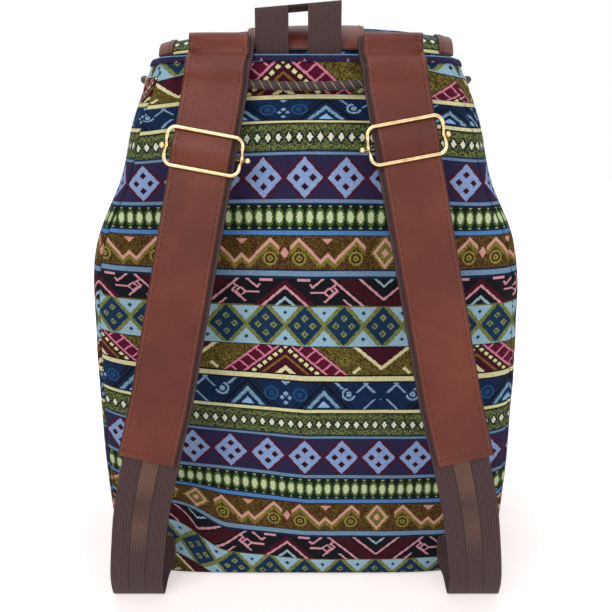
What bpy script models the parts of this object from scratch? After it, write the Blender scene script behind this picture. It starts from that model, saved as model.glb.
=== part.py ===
# Canvas drawstring backpack, standing on its base with the wearer's side towards -Y.
# Metres, +Z up. The origin is on the floor, in the middle of the backpack's box.

import math

import bmesh
import bpy
from mathutils import Vector

# Bag
HEM_HEIGHT = 0.392
BASE_WIDTH = 0.298
BELLY_WIDTH = 0.326
BELLY_HEIGHT = 0.215
SHOULDER_WIDTH = 0.272
SHOULDER_HEIGHT = 0.312
MOUTH_WIDTH = 0.214
BACK_Y = -0.071  # the back panel stands nearly upright here
BASE_FRONT_Y = 0.064
BELLY_FRONT_Y = 0.074
MOUTH_FRONT_Y = 0.030
BASE_INSET = 0.009  # how far the walls curve in at the floor
CANVAS = 0.0016
SEAM_ANGLE = math.radians(52)  # where the back panel meets the side and front panel
SEAM_GAP = math.radians(0.12)
FOOT_ROWS = [0.006, 0.013, 0.030]  # heights of the walls' rows where they curve in at the floor
SHOULDER_ROW = 0.280
ROW_STEP = 0.042
GATHER_DEPTH = 0.0020
GATHER_START = 0.290
GAP = 0.0003  # what touches is this far apart

# Hem and eyelets
HEM_BAND = 0.0045
HEM_TAPE = 0.0010
HEM_CLEAR = 0.0005
EYELET_RADIUS = 0.0092
EYELET_BORE = 0.0050
EYELET_WALL = 0.0007
EYELET_FLANGE = 0.0009  # off the wall's face, so that the curved wall clears it
EYELET_LIP = 0.0008
CUTTER_REACH = 0.010
BACK_EYELET_X = 0.071
FRONT_EYELETS_X = (0.024, 0.071)
CORD_DIAMETER = 0.006
KNOT_DIAMETER = 0.013
CORD_SAG = 0.006
CORD_TAIL = 0.110

# Flap
FLAP_BASE_WIDTH = 0.168
FLAP_WIDTH = 0.208
FLAP_CANVAS = 0.0012
FLAP_RISE = 0.030
FLAP_SIDE_DROP = 0.010
FLAP_LEAN = 0.003
FLAP_STANDOFF = 0.0110  # the cord's ends run under the flap
FLAP_FALL = 0.100
FLAP_END_HEIGHT = HEM_HEIGHT - FLAP_FALL
FLAP_CORNER = 0.035
BINDING_WIDTH = 0.010
BINDING_LEATHER = 0.0010
CENTRE_LEATHER_WIDTH = 0.078
CENTRE_LEATHER = 0.0012
SNAP_RADIUS = 0.008

# Haul loop
HANDLE_WIDTH = 0.0215
HANDLE_WEBBING = 0.0013
HANDLE_CENTRE = -0.005
HANDLE_SPREAD = 0.034
HANDLE_RISE = 0.031
HANDLE_HEIGHT = HEM_HEIGHT + HANDLE_RISE
HANDLE_STANDS_OFF = 0.0032  # free of the hem, above it

# Shoulder straps
STRAP_WIDTH = 0.038
WEBBING = 0.0015
STRAP_LEATHER = 0.0020
LEATHER_GAP = 0.0005
BACKING_SHOWS = 0.003
FOLD_RISE = 0.0115
FOLD_HEIGHT = HEM_HEIGHT + FOLD_RISE
FOLD_BEND = 0.0024
FOLD_TAIL_RISE = 0.003  # the webbing's end, behind the fold, starts above the hem
FOLD_SHIFT = 0.0035  # the strap leans, so its fold is nearer the middle
HEM_BEND = (0.0005, 0.0006, 0.001)  # from the fold's side, hem face and hem top
CORD_BEND = (0.002, 0.0010, 0.0027)  # from the fold's side, the run's top and the drawstring
RUN_TOP_DROP = 0.020
RUN_TOP = (0.0575, -0.0818, HEM_HEIGHT - RUN_TOP_DROP)
RUN_FOOT = (0.0950, -0.1190, 0.172)
LEATHER_END_HEIGHT = 0.122
STRAP_END_X = 0.124
STRAP_END_SEATS = ((0.020, 0.021), (0.034, 0.036))  # height read on the bag's wall, height of the webbing
FLOOR_CLEAR = 0.0002
# The webbing's route from the foot of the straight run down to the floor and back to the bag
LOOP_DOWN = (
    (0.1075, -0.1235, 0.122), (0.1155, -0.1210, 0.088), (0.1215, -0.1150, 0.055), (0.1265, -0.1070, 0.026),
    (0.1285, -0.0990, 0.0075),
)
LOOP_FLOOR = (0.1290, -0.0920)
LOOP_BACK = ((0.1288, -0.0850, 0.0035), (0.1275, -0.0790, 0.0105))

# Sliders
SLIDER_WIDTH = 0.051
SLIDER_HEIGHT = 0.027
SLIDER_WIRE = 0.0026
SLIDER_CORNER = 0.0055
BAR_DIAMETER = 0.0022
BAR_BALL = 0.0042
LEFT_SLIDER_DROP = 0.043  # along the strap, from the top of its straight run
RIGHT_SLIDER_DROP = 0.036


def colour(code):
    """An sRGB hex colour as the linear values that a shader takes."""
    def linear(value):
        return value / 12.92 if value <= 0.04045 else ((value + 0.055) / 1.055) ** 2.4
    return tuple(linear(int(code[i : i + 2], 16) / 255) for i in (0, 2, 4)) + (1.0,)


def material(name, code, roughness, metallic=0.0):
    made = bpy.data.materials.new(name)
    made.use_nodes = True
    shader = made.node_tree.nodes["Principled BSDF"]
    shader.inputs["Base Color"].default_value = colour(code)
    shader.inputs["Roughness"].default_value = roughness
    shader.inputs["Metallic"].default_value = metallic
    return made


def smooth(value):
    value = min(max(value, 0.0), 1.0)
    return value * value * (3 - 2 * value)


def spaced(low, high, count):
    return [low + (high - low) * i / (count - 1) for i in range(count)]


def through(keys, at):
    """The value at this height on a smooth curve through (height, value) pairs."""
    if at <= keys[0][0]:
        return keys[0][1]
    for i in range(len(keys) - 1):
        (low, a), (high, b) = keys[i], keys[i + 1]
        if at <= high:
            before = keys[max(i - 1, 0)]
            after = keys[min(i + 2, len(keys) - 1)]
            slope_a = (b - before[1]) / (high - before[0])
            slope_b = (after[1] - a) / (after[0] - low)
            t = (at - low) / (high - low)
            run = high - low
            return (
                (2 * t**3 - 3 * t**2 + 1) * a
                + (t**3 - 2 * t**2 + t) * run * slope_a
                + (3 * t**2 - 2 * t**3) * b
                + (t**3 - t**2) * run * slope_b
            )
    return keys[-1][1]


def catmull(points, steps):
    """Points along a smooth curve through the given ones, with this many steps between each pair."""
    points = [Vector(p) for p in points]
    ends = [2 * points[0] - points[1]] + points + [2 * points[-1] - points[-2]]
    found = []
    for a, b, c, d in zip(ends, ends[1:], ends[2:], ends[3:]):
        for i in range(steps):
            t = i / steps
            found.append(
                0.5 * (2 * b + (c - a) * t + (2 * a - 5 * b + 4 * c - d) * t**2
                       + (3 * b - a - 3 * c + d) * t**3)
            )
    return found + [points[-1]]


# The bag's shape: each level is a rounded oblong, squarer at the floor than at the mouth
HALF_WIDTH = (
    (0.0, BASE_WIDTH / 2 - BASE_INSET),
    (0.012, BASE_WIDTH / 2),
    (0.040, BASE_WIDTH * 0.3 + BELLY_WIDTH * 0.22),
    (BELLY_HEIGHT, BELLY_WIDTH / 2),
    (0.265, BELLY_WIDTH * 0.48),
    (SHOULDER_HEIGHT, SHOULDER_WIDTH / 2),
    (0.350, SHOULDER_WIDTH * 0.25 + MOUTH_WIDTH * 0.27),
    (HEM_HEIGHT, MOUTH_WIDTH / 2),
)
BACK = (
    (0.0, BACK_Y + BASE_INSET),
    (0.012, BACK_Y + 0.004),
    (0.150, BACK_Y - 0.002),
    (0.260, BACK_Y - 0.001),
    (HEM_HEIGHT, BACK_Y),
)
FRONT = (
    (0.0, BASE_FRONT_Y - BASE_INSET),
    (0.012, BASE_FRONT_Y),
    (0.120, BELLY_FRONT_Y),
    (0.215, BELLY_FRONT_Y - 0.004),
    (0.300, 0.5 * (BELLY_FRONT_Y + MOUTH_FRONT_Y)),
    (HEM_HEIGHT, MOUTH_FRONT_Y),
)
SQUARENESS = ((0.0, 5.5), (0.220, 4.6), (0.312, 3.7), (HEM_HEIGHT, 3.2))


def section(z):
    """Half width, half depth, middle in Y and squareness of the bag at this height."""
    back = through(BACK, z)
    front = through(FRONT, z)
    return through(HALF_WIDTH, z), (front - back) / 2, (front + back) / 2, through(SQUARENESS, z)


def outline(angle, z):
    """A point of the bag's outside without gathers; angle 0 is the middle of the back, 90 degrees is +X."""
    a, b, middle, n = section(z)
    reach = (abs(math.sin(angle)) ** n + abs(math.cos(angle)) ** n) ** (-1 / n)
    return Vector((a * reach * math.sin(angle), middle - b * reach * math.cos(angle), z))


def gather(angle, z):
    """How far the drawn cord pulls the wall in between two eyelets at this angle."""
    from_back = abs((angle + math.pi) % math.tau - math.pi)
    stations = EYELET_ANGLES + [math.tau - EYELET_ANGLES[-1]]
    for low, high in zip(stations, stations[1:]):
        if low < from_back < high:
            share = smooth((from_back - low) / (high - low) * 1.5 - 0.25)
            depth = smooth((z - GATHER_START) / (HEM_HEIGHT - GATHER_START)) * GATHER_DEPTH
            return depth * math.sin(math.pi * share) ** 2
    return 0.0


def outward_at(angle, z):
    """The wall's outward direction, level with the floor."""
    step = 0.01
    along = outline(angle + step, z) - outline(angle - step, z)
    return Vector((along.y, -along.x, 0)).normalized()


def bag_point(angle, z, out=0.0):
    """A point of the bag's wall, moved outwards by out."""
    return outline(angle, z) + outward_at(angle, z) * (out - gather(angle, z))


def wall_axes(angle, z):
    """Along the wall, up the wall and out of the wall."""
    step = 0.01
    along = (outline(angle + step, z) - outline(angle - step, z)).normalized()
    up = outline(angle, z + step) - outline(angle, z - step)
    out = along.cross(up).normalized()
    return along, out.cross(along), out


def angle_at(x, z, front=False):
    """The angle at which the bag's outline has this x, on the back or on the front."""
    low, high = 0.0, math.pi / 2
    for _ in range(40):
        middle = (low + high) / 2
        if outline(middle, z).x < abs(x):
            low = middle
        else:
            high = middle
    found = math.pi - low if front else low
    return math.copysign(found, x)


EYELET_HEIGHT = HEM_HEIGHT - HEM_BAND - EYELET_RADIUS - 0.0005
EYELET_ANGLES = [angle_at(BACK_EYELET_X, EYELET_HEIGHT), math.pi / 2]
EYELET_ANGLES += [angle_at(x, EYELET_HEIGHT, front=True) for x in reversed(FRONT_EYELETS_X)]


def side_y(x, z, grow, front):
    """Y of the bag's outline at this x, with the outline grown outwards by grow."""
    a, b, middle, n = section(z)
    inside = max(1 - (abs(x) / (a + grow)) ** n, 0.0)
    reach = (b + grow) * inside ** (1 / n)
    return middle + reach if front else middle - reach


def in_collection(name, render=True):
    made = bpy.data.collections.new(name)
    bpy.context.scene.collection.children.link(made)
    made.hide_render = not render
    return made


def add_object(name, data, finish, collection):
    made = bpy.data.objects.new(name, data)
    collection.objects.link(made)
    if finish:
        data.materials.append(finish)
    return made


def sheet(name, rows, finish, collection, thickness=0.0, offset=0.0, closed=False):
    """A surface through rows of points, given a thickness."""
    form = bmesh.new()
    grid = [[form.verts.new(p) for p in row] for row in rows]
    across = len(rows[0])
    for low, high in zip(grid, grid[1:]):
        for i in range(across if closed else across - 1):
            j = (i + 1) % across
            form.faces.new((low[i], low[j], high[j], high[i]))
    mesh = bpy.data.meshes.new(name)
    form.to_mesh(mesh)
    form.free()
    mesh.shade_smooth()
    made = add_object(name, mesh, finish, collection)
    if thickness:
        solid = made.modifiers.new("thickness", "SOLIDIFY")
        solid.thickness = thickness
        solid.offset = offset
    return made


def frames(path):
    """Tangent, width direction and face direction at each point of a strap."""
    found = []
    for i, here in enumerate(path):
        tangent = (path[min(i + 1, len(path) - 1)] - path[max(i - 1, 0)]).normalized()
        width = (Vector((1, 0, 0)) - tangent.x * tangent).normalized()
        found.append((here, tangent, width, tangent.cross(width)))
    return found


def strap_rows(path, width, shift=0.0, lift=0.0):
    """Rows of two edge points along a strap's route. lift is towards the strap's face."""
    rows = []
    for here, _, across, face in frames(path):
        centre = here + across * shift + face * lift
        rows.append([centre - across * width / 2, centre + across * width / 2])
    return rows


def wire(name, points, radius, finish, collection, closed=False, sides=2):
    """A round wire or cord along these points."""
    curve = bpy.data.curves.new(name, "CURVE")
    curve.dimensions = "3D"
    curve.bevel_depth = radius
    curve.bevel_resolution = sides
    curve.use_fill_caps = not closed
    spline = curve.splines.new("POLY")
    spline.points.add(len(points) - 1)
    for point, place in zip(spline.points, points):
        point.co = (*place, 1)
    spline.use_cyclic_u = closed
    return add_object(name, curve, finish, collection)


def turned(name, profile, axis, place, finish, collection, steps=24, closed_profile=False):
    """A turned piece: a profile of (radius, height) points spun about its own Z, laid along axis."""
    form = bmesh.new()
    points = [form.verts.new((r, 0, h)) for r, h in profile]
    pairs = list(zip(points, points[1:]))
    if closed_profile:
        pairs.append((points[-1], points[0]))
    for a, b in pairs:
        form.edges.new((a, b))
    mesh = bpy.data.meshes.new(name)
    form.to_mesh(mesh)
    form.free()
    made = add_object(name, mesh, finish, collection)
    made.rotation_mode = "QUATERNION"
    made.rotation_quaternion = Vector(axis).to_track_quat("Z", "Y")
    made.location = place
    screw = made.modifiers.new("turn", "SCREW")
    screw.angle = math.tau
    screw.steps = steps
    screw.render_steps = steps
    screw.use_merge_vertices = True
    screw.merge_threshold = 0.00001
    return made


def cut(target, cutter):
    hole = target.modifiers.new("hole", "BOOLEAN")
    hole.operation = "DIFFERENCE"
    hole.object = cutter
    hole.solver = "EXACT"


def panel_angles(start, end, count):
    """Angles across a panel, with a narrow strip along each seam."""
    strip = math.radians(1.2)
    return [start + SEAM_GAP] + spaced(start + strip, end - strip, count) + [end - SEAM_GAP]


def back_angles():
    return panel_angles(-SEAM_ANGLE, SEAM_ANGLE, 19)


def front_angles():
    return panel_angles(SEAM_ANGLE, math.tau - SEAM_ANGLE, 41)


def build_bag(parts, canvas):
    """The base and the two wall panels."""
    top = HEM_HEIGHT - HEM_TAPE - GAP
    heights = [CANVAS + GAP] + FOOT_ROWS + spaced(FOOT_ROWS[-1] + ROW_STEP, SHOULDER_ROW, 6)
    heights += spaced(SHOULDER_ROW + ROW_STEP / 2.5, top - HEM_BAND, 6) + [top]

    rim = [outline(math.tau * i / 72, 0.0) for i in range(72)]
    form = bmesh.new()
    form.faces.new([form.verts.new(p) for p in rim])
    mesh = bpy.data.meshes.new("base_panel")
    form.to_mesh(mesh)
    form.free()
    base = add_object("base_panel", mesh, canvas, parts)
    solid = base.modifiers.new("thickness", "SOLIDIFY")
    solid.thickness = CANVAS
    solid.offset = 1.0

    def panel(name, angles):
        rows = [[bag_point(angle, z) for angle in angles] for z in heights]
        return sheet(name, rows, canvas, parts, CANVAS, -1.0)

    return panel("back_panel", back_angles()), panel("front_panel", front_angles())


def build_hem(parts, canvas):
    """A folded strip over the top edges of both panels."""
    top = HEM_HEIGHT - HEM_TAPE / 2
    outer = HEM_CLEAR + HEM_TAPE / 2
    inner = -(CANVAS * 1.1 + HEM_CLEAR + HEM_TAPE / 2)
    angles = back_angles() + front_angles()
    rows = [
        [bag_point(angle, z, out) for angle in angles]
        for z, out in ((HEM_HEIGHT - HEM_BAND, outer), (top, outer), (top, inner), (HEM_HEIGHT - HEM_BAND, inner))
    ]
    sheet("hem", rows, canvas, parts, HEM_TAPE, closed=True)


def build_eyelets(parts, helpers, gilt, back, front):
    """Flanged rings through the walls, and the holes that they sit in."""
    flange = CANVAS / 2 + EYELET_FLANGE
    bore = EYELET_BORE
    tube = bore + EYELET_WALL
    lip = EYELET_LIP
    profile = [
        (bore, flange + lip * 0.5), (bore + 0.0008, flange + lip), (EYELET_RADIUS - 0.0012, flange + lip),
        (EYELET_RADIUS, flange), (tube, flange), (tube, -flange), (EYELET_RADIUS - 0.0008, -flange),
        (EYELET_RADIUS - 0.001, -flange - lip), (bore, -flange - lip),
    ]
    reach = CUTTER_REACH
    names = ("back", "side", "front_outer", "front_inner")
    for sign, side in ((-1, "left"), (1, "right")):
        for name, angle in zip(names, EYELET_ANGLES):
            outward = wall_axes(sign * angle, EYELET_HEIGHT)[2]
            centre = outline(sign * angle, EYELET_HEIGHT) - outward * CANVAS / 2
            turned(f"eyelet_{name}_{side}", profile, outward, centre, gilt, parts, 16, True)
            cutter = turned(
                f"cutter_{name}_{side}",
                [(0, reach), (tube + GAP, reach), (tube + GAP, -reach), (0, -reach)],
                outward, centre, None, helpers, 16,
            )
            cutter.hide_render = True
            cutter.display_type = "WIRE"
            cut(back if name == "back" else front, cutter)


def eyelet_crossing(angle, inwards):
    """The cord's way through an eyelet, as it goes on round the bag: over the lip, through, and on."""
    along, _, out = wall_axes(angle, EYELET_HEIGHT)
    middle = outline(angle, EYELET_HEIGHT) - out * CANVAS / 2
    lip = CANVAS / 2 + EYELET_FLANGE + EYELET_LIP + CORD_DIAMETER / 2 + 1.3 * GAP
    way = [(-0.0078, lip), (-0.0035, lip), (-0.0008, lip * 0.62), (0, 0)]
    way += [(-a, -h) for a, h in reversed(way[:-1])]
    sign = 1 if inwards else -1
    return [middle + along * a + out * h * sign for a, h in way]


def eyelet_exit(angle):
    """The cord's way out of a front eyelet and down."""
    _, up, out = wall_axes(angle, EYELET_HEIGHT)
    middle = outline(angle, EYELET_HEIGHT) - out * CANVAS / 2
    lip = CANVAS / 2 + EYELET_FLANGE + EYELET_LIP + CORD_DIAMETER / 2 + 1.3 * GAP
    return [middle - up * fall + out * h for fall, h in ((0.0008, lip * 0.62), (0.0035, lip), (0.0080, lip))]


def cord_points():
    """The drawstring: outside across the back, then in and out of the eyelets to the front."""
    clear = CORD_DIAMETER / 2 + GAP + 0.0014
    half = []
    for x in (0.0, 0.024, 0.046):
        sag = CORD_SAG * (1 - (x / BACK_EYELET_X) ** 2)
        half.append(bag_point(angle_at(x, EYELET_HEIGHT), EYELET_HEIGHT - sag, clear))
    back, side, outer, inner = EYELET_ANGLES
    inside = -(CANVAS + clear)

    def between(a, b, out):
        return [bag_point(a + (b - a) * t, EYELET_HEIGHT, out) for t in (0.36, 0.64)]

    half += eyelet_crossing(back, True) + between(back, side, inside)
    half += eyelet_crossing(side, False) + between(side, outer, clear)
    half += eyelet_crossing(outer, True)
    half += [bag_point((outer + inner) / 2, EYELET_HEIGHT, inside)]
    half += eyelet_crossing(inner, False)[:4] + eyelet_exit(inner)
    for drop, share in ((0.020, 0.92), (0.040, 0.82), (0.068, 0.72), (CORD_TAIL, 0.62)):
        x = FRONT_EYELETS_X[0] * share
        z = EYELET_HEIGHT - drop
        half.append(Vector((x, side_y(x, z, CORD_DIAMETER / 2 + 0.0008, True), z)))
    mirrored = [Vector((-p.x, p.y, p.z)) for p in half[1:]]
    return list(reversed(mirrored)) + half


def thinned(points, least):
    """The same route without the points that lie closer together than least."""
    kept = [points[0]]
    for point in points[1:-1]:
        if (point - kept[-1]).length >= least:
            kept.append(point)
    return kept + [points[-1]]


def build_cord(parts, cord_finish):
    points = thinned(catmull(cord_points(), 3), 0.0026)
    wire("drawstring", points, CORD_DIAMETER / 2, cord_finish, parts, sides=2)
    for tip, before, side in ((points[0], points[1], "left"), (points[-1], points[-2], "right")):
        along = (tip - before).normalized()
        radius = KNOT_DIAMETER / 2
        reach = math.sqrt(radius**2 - (CORD_DIAMETER / 2) ** 2)
        centre = tip + along * (reach + GAP * 4)
        centre.y = side_y(centre.x, centre.z, 0, True) + radius + 2 * GAP
        profile = [
            (radius * math.sin(t), radius * 0.9 * math.cos(t)) for t in (math.pi * i / 8 for i in range(9))
        ]
        profile[0] = (0, profile[0][1])
        profile[-1] = (0, profile[-1][1])
        turned(f"knot_{side}", profile, (0, 0, 1), centre, cord_finish, parts, 14)


# The flap: a seam inside the back hem, an arch over the mouth, and a fall down the front.
# Its own coordinates are x and a run from 0 at the seam to 1 at the free end.
SEAM_RUN = 0.06
ARCH_RUN = 0.52
HANDLE_INSET = CANVAS * 1.1 + HEM_CLEAR + HEM_TAPE + GAP + HANDLE_WEBBING / 2
FLAP_INSET = HANDLE_INSET + HANDLE_WEBBING / 2 + 3 * GAP + FLAP_CANVAS / 2
FLAP_START_HEIGHT = HEM_HEIGHT - HEM_BAND - 0.002
FLAP_FRONT_TOP = HEM_HEIGHT - 0.004


def flap_seam_y(x):
    middle = side_y(0, HEM_HEIGHT, -FLAP_INSET, False)
    edge_x = FLAP_BASE_WIDTH / 2
    edge = side_y(edge_x, HEM_HEIGHT, -FLAP_INSET, False)
    return middle + (edge - middle) * (abs(x) / edge_x) ** 4


def flap_middle(x, run):
    share = x / (FLAP_WIDTH / 2)
    back_y = flap_seam_y(x)
    arch_foot = HEM_HEIGHT + 0.001
    front_y = side_y(x, FLAP_FRONT_TOP, FLAP_STANDOFF, True)
    if run <= SEAM_RUN:
        return Vector((x, back_y, FLAP_START_HEIGHT + (arch_foot - FLAP_START_HEIGHT) * run / SEAM_RUN))
    if run <= ARCH_RUN:
        t = (run - SEAM_RUN) / (ARCH_RUN - SEAM_RUN)
        rise = FLAP_RISE - FLAP_SIDE_DROP * share**2 + FLAP_LEAN * share
        y = ((1 - t) ** 3 * back_y + 3 * (1 - t) ** 2 * t * (back_y + 0.004)
             + 3 * (1 - t) * t**2 * (front_y - 0.002) + t**3 * front_y)
        z = ((1 - t) ** 3 * arch_foot + 3 * (1 - t) ** 2 * t * (arch_foot + rise)
             + 3 * (1 - t) * t**2 * (FLAP_FRONT_TOP + rise) + t**3 * FLAP_FRONT_TOP)
        return Vector((x, y, z))
    z = FLAP_FRONT_TOP + (FLAP_END_HEIGHT - FLAP_FRONT_TOP) * (run - ARCH_RUN) / (1 - ARCH_RUN)
    return Vector((x, side_y(x, z, FLAP_STANDOFF, True), z))


def flap_point(x, run, out=0.0):
    step_x, step_run = 0.001, 0.004
    along = flap_middle(x, run + step_run) - flap_middle(x, run - step_run)
    across = flap_middle(x + step_x, run) - flap_middle(x - step_x, run)
    outward = across.cross(along).normalized()
    return flap_middle(x, run) + outward * out


FALL_LENGTH = (FLAP_FRONT_TOP - FLAP_END_HEIGHT) / (1 - ARCH_RUN)  # metres of flap to one unit of run
CORNER_RUN = 1 - FLAP_CORNER / FALL_LENGTH
FLAP_RUNS = spaced(0.0, SEAM_RUN, 3) + spaced(SEAM_RUN, ARCH_RUN, 14)[1:] + spaced(ARCH_RUN, CORNER_RUN, 7)[1:]
CORNER_TURNS = [math.pi / 2 * i / 6 for i in range(1, 7)]


def flap_half_width(run):
    return FLAP_BASE_WIDTH / 2 + (FLAP_WIDTH - FLAP_BASE_WIDTH) / 2 * smooth(run / (ARCH_RUN * 0.8))


def flap_stations():
    """(run, half width) down the flap, with round corners at the free end."""
    found = [(run, flap_half_width(run)) for run in FLAP_RUNS]
    for turn in CORNER_TURNS:
        found.append((
            CORNER_RUN + FLAP_CORNER * math.sin(turn) / FALL_LENGTH,
            FLAP_WIDTH / 2 - FLAP_CORNER * (1 - math.cos(turn)),
        ))
    return found


def flap_edge(inset):
    """The flap's right-hand edge and half of its free end as (x, run), moved inwards by inset."""
    found = [(flap_half_width(run) - inset, run) for run in FLAP_RUNS if run > SEAM_RUN]
    radius = FLAP_CORNER - inset
    for turn in CORNER_TURNS:
        x = FLAP_WIDTH / 2 - FLAP_CORNER + radius * math.cos(turn)
        found.append((x, CORNER_RUN + radius * math.sin(turn) / FALL_LENGTH))
    end = found[-1][1]
    for share in (0.72, 0.44, 0.15):
        found.append(((FLAP_WIDTH / 2 - FLAP_CORNER) * share, end))
    return found


def build_flap(parts, canvas, leather, gilt):
    centre = spaced(-CENTRE_LEATHER_WIDTH / 2, CENTRE_LEATHER_WIDTH / 2, 7)
    rows = []
    for run, half in flap_stations():
        inner = half - BINDING_WIDTH
        middle = (inner + CENTRE_LEATHER_WIDTH / 2) / 2
        xs = [-half, -inner, -middle] + centre + [middle, inner, half]
        rows.append([flap_point(x, run) for x in xs])
    sheet("flap", rows, canvas, parts, FLAP_CANVAS)

    lift = FLAP_CANVAS / 2 + 2 * GAP + BINDING_LEATHER / 2
    inner, outer = flap_edge(BINDING_WIDTH), flap_edge(-lift)

    def binding_half(sign):
        rows = []
        for (in_x, in_run), (out_x, out_run) in zip(inner, outer):
            rows.append([
                flap_point(sign * in_x, in_run, lift), flap_point(sign * out_x, out_run, lift),
                flap_point(sign * out_x, out_run, -lift), flap_point(sign * in_x, in_run, -lift),
            ])
        return rows

    rows = binding_half(1) + list(reversed(binding_half(-1)))
    sheet("flap_binding", rows, leather, parts, BINDING_LEATHER)

    lift = FLAP_CANVAS / 2 + 2 * GAP + CENTRE_LEATHER / 2
    end_run = 1 - (BINDING_WIDTH + 0.002) / FALL_LENGTH
    runs = [run for run, _ in flap_stations() if SEAM_RUN + 0.01 < run < end_run] + [end_run]
    rows = [[flap_point(x, run, lift) for x in centre] for run in runs]
    sheet("flap_centre_leather", rows, leather, parts, CENTRE_LEATHER)

    snap_run = 1 - 0.030 / FALL_LENGTH
    wall = flap_middle(0, snap_run)
    outward = (flap_point(0, snap_run, 0.01) - wall).normalized()
    room = FLAP_STANDOFF * outward.y - FLAP_CANVAS / 2
    stud = room / 2 - GAP * 1.5
    start = wall - outward * (FLAP_CANVAS / 2 + GAP)

    def disc(name, low, high):
        profile = [(0, high), (SNAP_RADIUS - 0.001, high), (SNAP_RADIUS, high - 0.0008), (SNAP_RADIUS, low), (0, low)]
        turned(name, profile, outward, start, gilt, parts, 20)

    disc("snap_stud", -stud, 0.0)
    disc("snap_socket", -room + 2 * GAP + 0.0003, -stud - GAP)


def build_handle(parts, webbing):
    """The haul loop: two flat legs that twist a quarter turn into a level top."""
    left = HANDLE_CENTRE - HANDLE_SPREAD / 2
    right = HANDLE_CENTRE + HANDLE_SPREAD / 2
    seated = side_y(HANDLE_WIDTH / 2 - left, HEM_HEIGHT, -HANDLE_INSET, False)
    foot = HEM_HEIGHT - HEM_BAND - 0.001
    free = seated - HANDLE_STANDS_OFF
    top = HANDLE_HEIGHT - HANDLE_WEBBING / 2
    turn_radius = HANDLE_SPREAD / 2 * 0.75
    spring = top - turn_radius
    stations = [
        (left, seated, foot, 0), (left, seated, HEM_HEIGHT, 0), (left, free, HEM_HEIGHT + 0.008, 0),
        (left, free, spring - 0.004, 0),
    ]
    for i in range(1, 9):
        bend = math.pi / 2 * i / 8
        stations.append((left + turn_radius * (1 - math.cos(bend)), free, spring + turn_radius * math.sin(bend), bend))
    for i in range(0, 8):
        bend = math.pi / 2 * (1 + i / 8)
        stations.append((right - turn_radius * (1 + math.cos(bend)), free, spring + turn_radius * math.sin(bend), bend))
    stations += [
        (right, free, spring - 0.004, math.pi), (right, free, HEM_HEIGHT + 0.008, math.pi),
        (right, seated, HEM_HEIGHT, math.pi), (right, seated, foot, math.pi),
    ]
    rows = []
    for x, y, z, bend in stations:
        flat = Vector((math.cos(bend), 0, -math.sin(bend))) * abs(math.cos(bend))
        across = (flat + Vector((0, -1, 0)) * math.sin(bend)).normalized()
        centre = Vector((x, y + HANDLE_WIDTH * 0.5 * math.sin(bend) ** 2, z))
        rows.append([centre - across * HANDLE_WIDTH / 2, centre + across * HANDLE_WIDTH / 2])
    sheet("handle", rows, webbing, parts, HANDLE_WEBBING)


def strap_path(sign):
    """The webbing's middle line: fold over the hem, straight run, loop on the floor, corner of the bag."""
    bend = FOLD_BEND
    fold_x = RUN_TOP[0] - FOLD_SHIFT
    inner_x = fold_x - STRAP_WIDTH / 2 - BACKING_SHOWS / 2
    hem_face = side_y(inner_x, HEM_HEIGHT, HEM_CLEAR + HEM_TAPE + GAP + WEBBING / 2, False)
    fold_z = FOLD_HEIGHT - STRAP_LEATHER - bend
    points = [(fold_x, hem_face + 2 * bend, HEM_HEIGHT + FOLD_TAIL_RISE)]
    for i in range(7):
        turn = math.pi * i / 6
        points.append((fold_x, hem_face + bend * (1 + math.cos(turn)), fold_z + bend * math.sin(turn)))
    points += [
        (fold_x + HEM_BEND[0], hem_face - HEM_BEND[1], HEM_HEIGHT - HEM_BEND[2]),
        (fold_x + CORD_BEND[0], RUN_TOP[1] + CORD_BEND[1], EYELET_HEIGHT + CORD_DIAMETER / 2 + CORD_BEND[2]),
    ]
    upper = catmull([Vector(p) for p in points] + [Vector(RUN_TOP)], 2)
    top, foot = Vector(RUN_TOP), Vector(RUN_FOOT)
    run = [top.lerp(foot, i / 10) for i in range(1, 10)]
    on_floor = (*LOOP_FLOOR, WEBBING / 2 + FLOOR_CLEAR)
    off_wall = GAP + WEBBING / 2
    seated = [(STRAP_END_X, side_y(0, wall_z, 0, False) - off_wall, z) for wall_z, z in STRAP_END_SEATS]
    lower = catmull([top.lerp(foot, 0.93), foot, *LOOP_DOWN, on_floor, *LOOP_BACK, *seated], 4)[4:]
    return [Vector((sign * p.x, p.y, p.z)) for p in upper + run + lower]


def build_strap(parts, webbing, leather, sign, side):
    path = strap_path(sign)
    rows = strap_rows(path, STRAP_WIDTH, -sign * BACKING_SHOWS / 2)
    sheet(f"strap_{side}_webbing", rows, webbing, parts, WEBBING)
    crest = max(range(len(path)), key=lambda i: path[i].z)
    leather_path = [p for i, p in enumerate(path) if i >= crest and (p.z > LEATHER_END_HEIGHT or i < 20)]
    lift = WEBBING / 2 + LEATHER_GAP + STRAP_LEATHER / 2
    rows = strap_rows(leather_path, STRAP_WIDTH, sign * BACKING_SHOWS / 2, lift)
    sheet(f"strap_{side}_leather", rows, leather, parts, STRAP_LEATHER)


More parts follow.
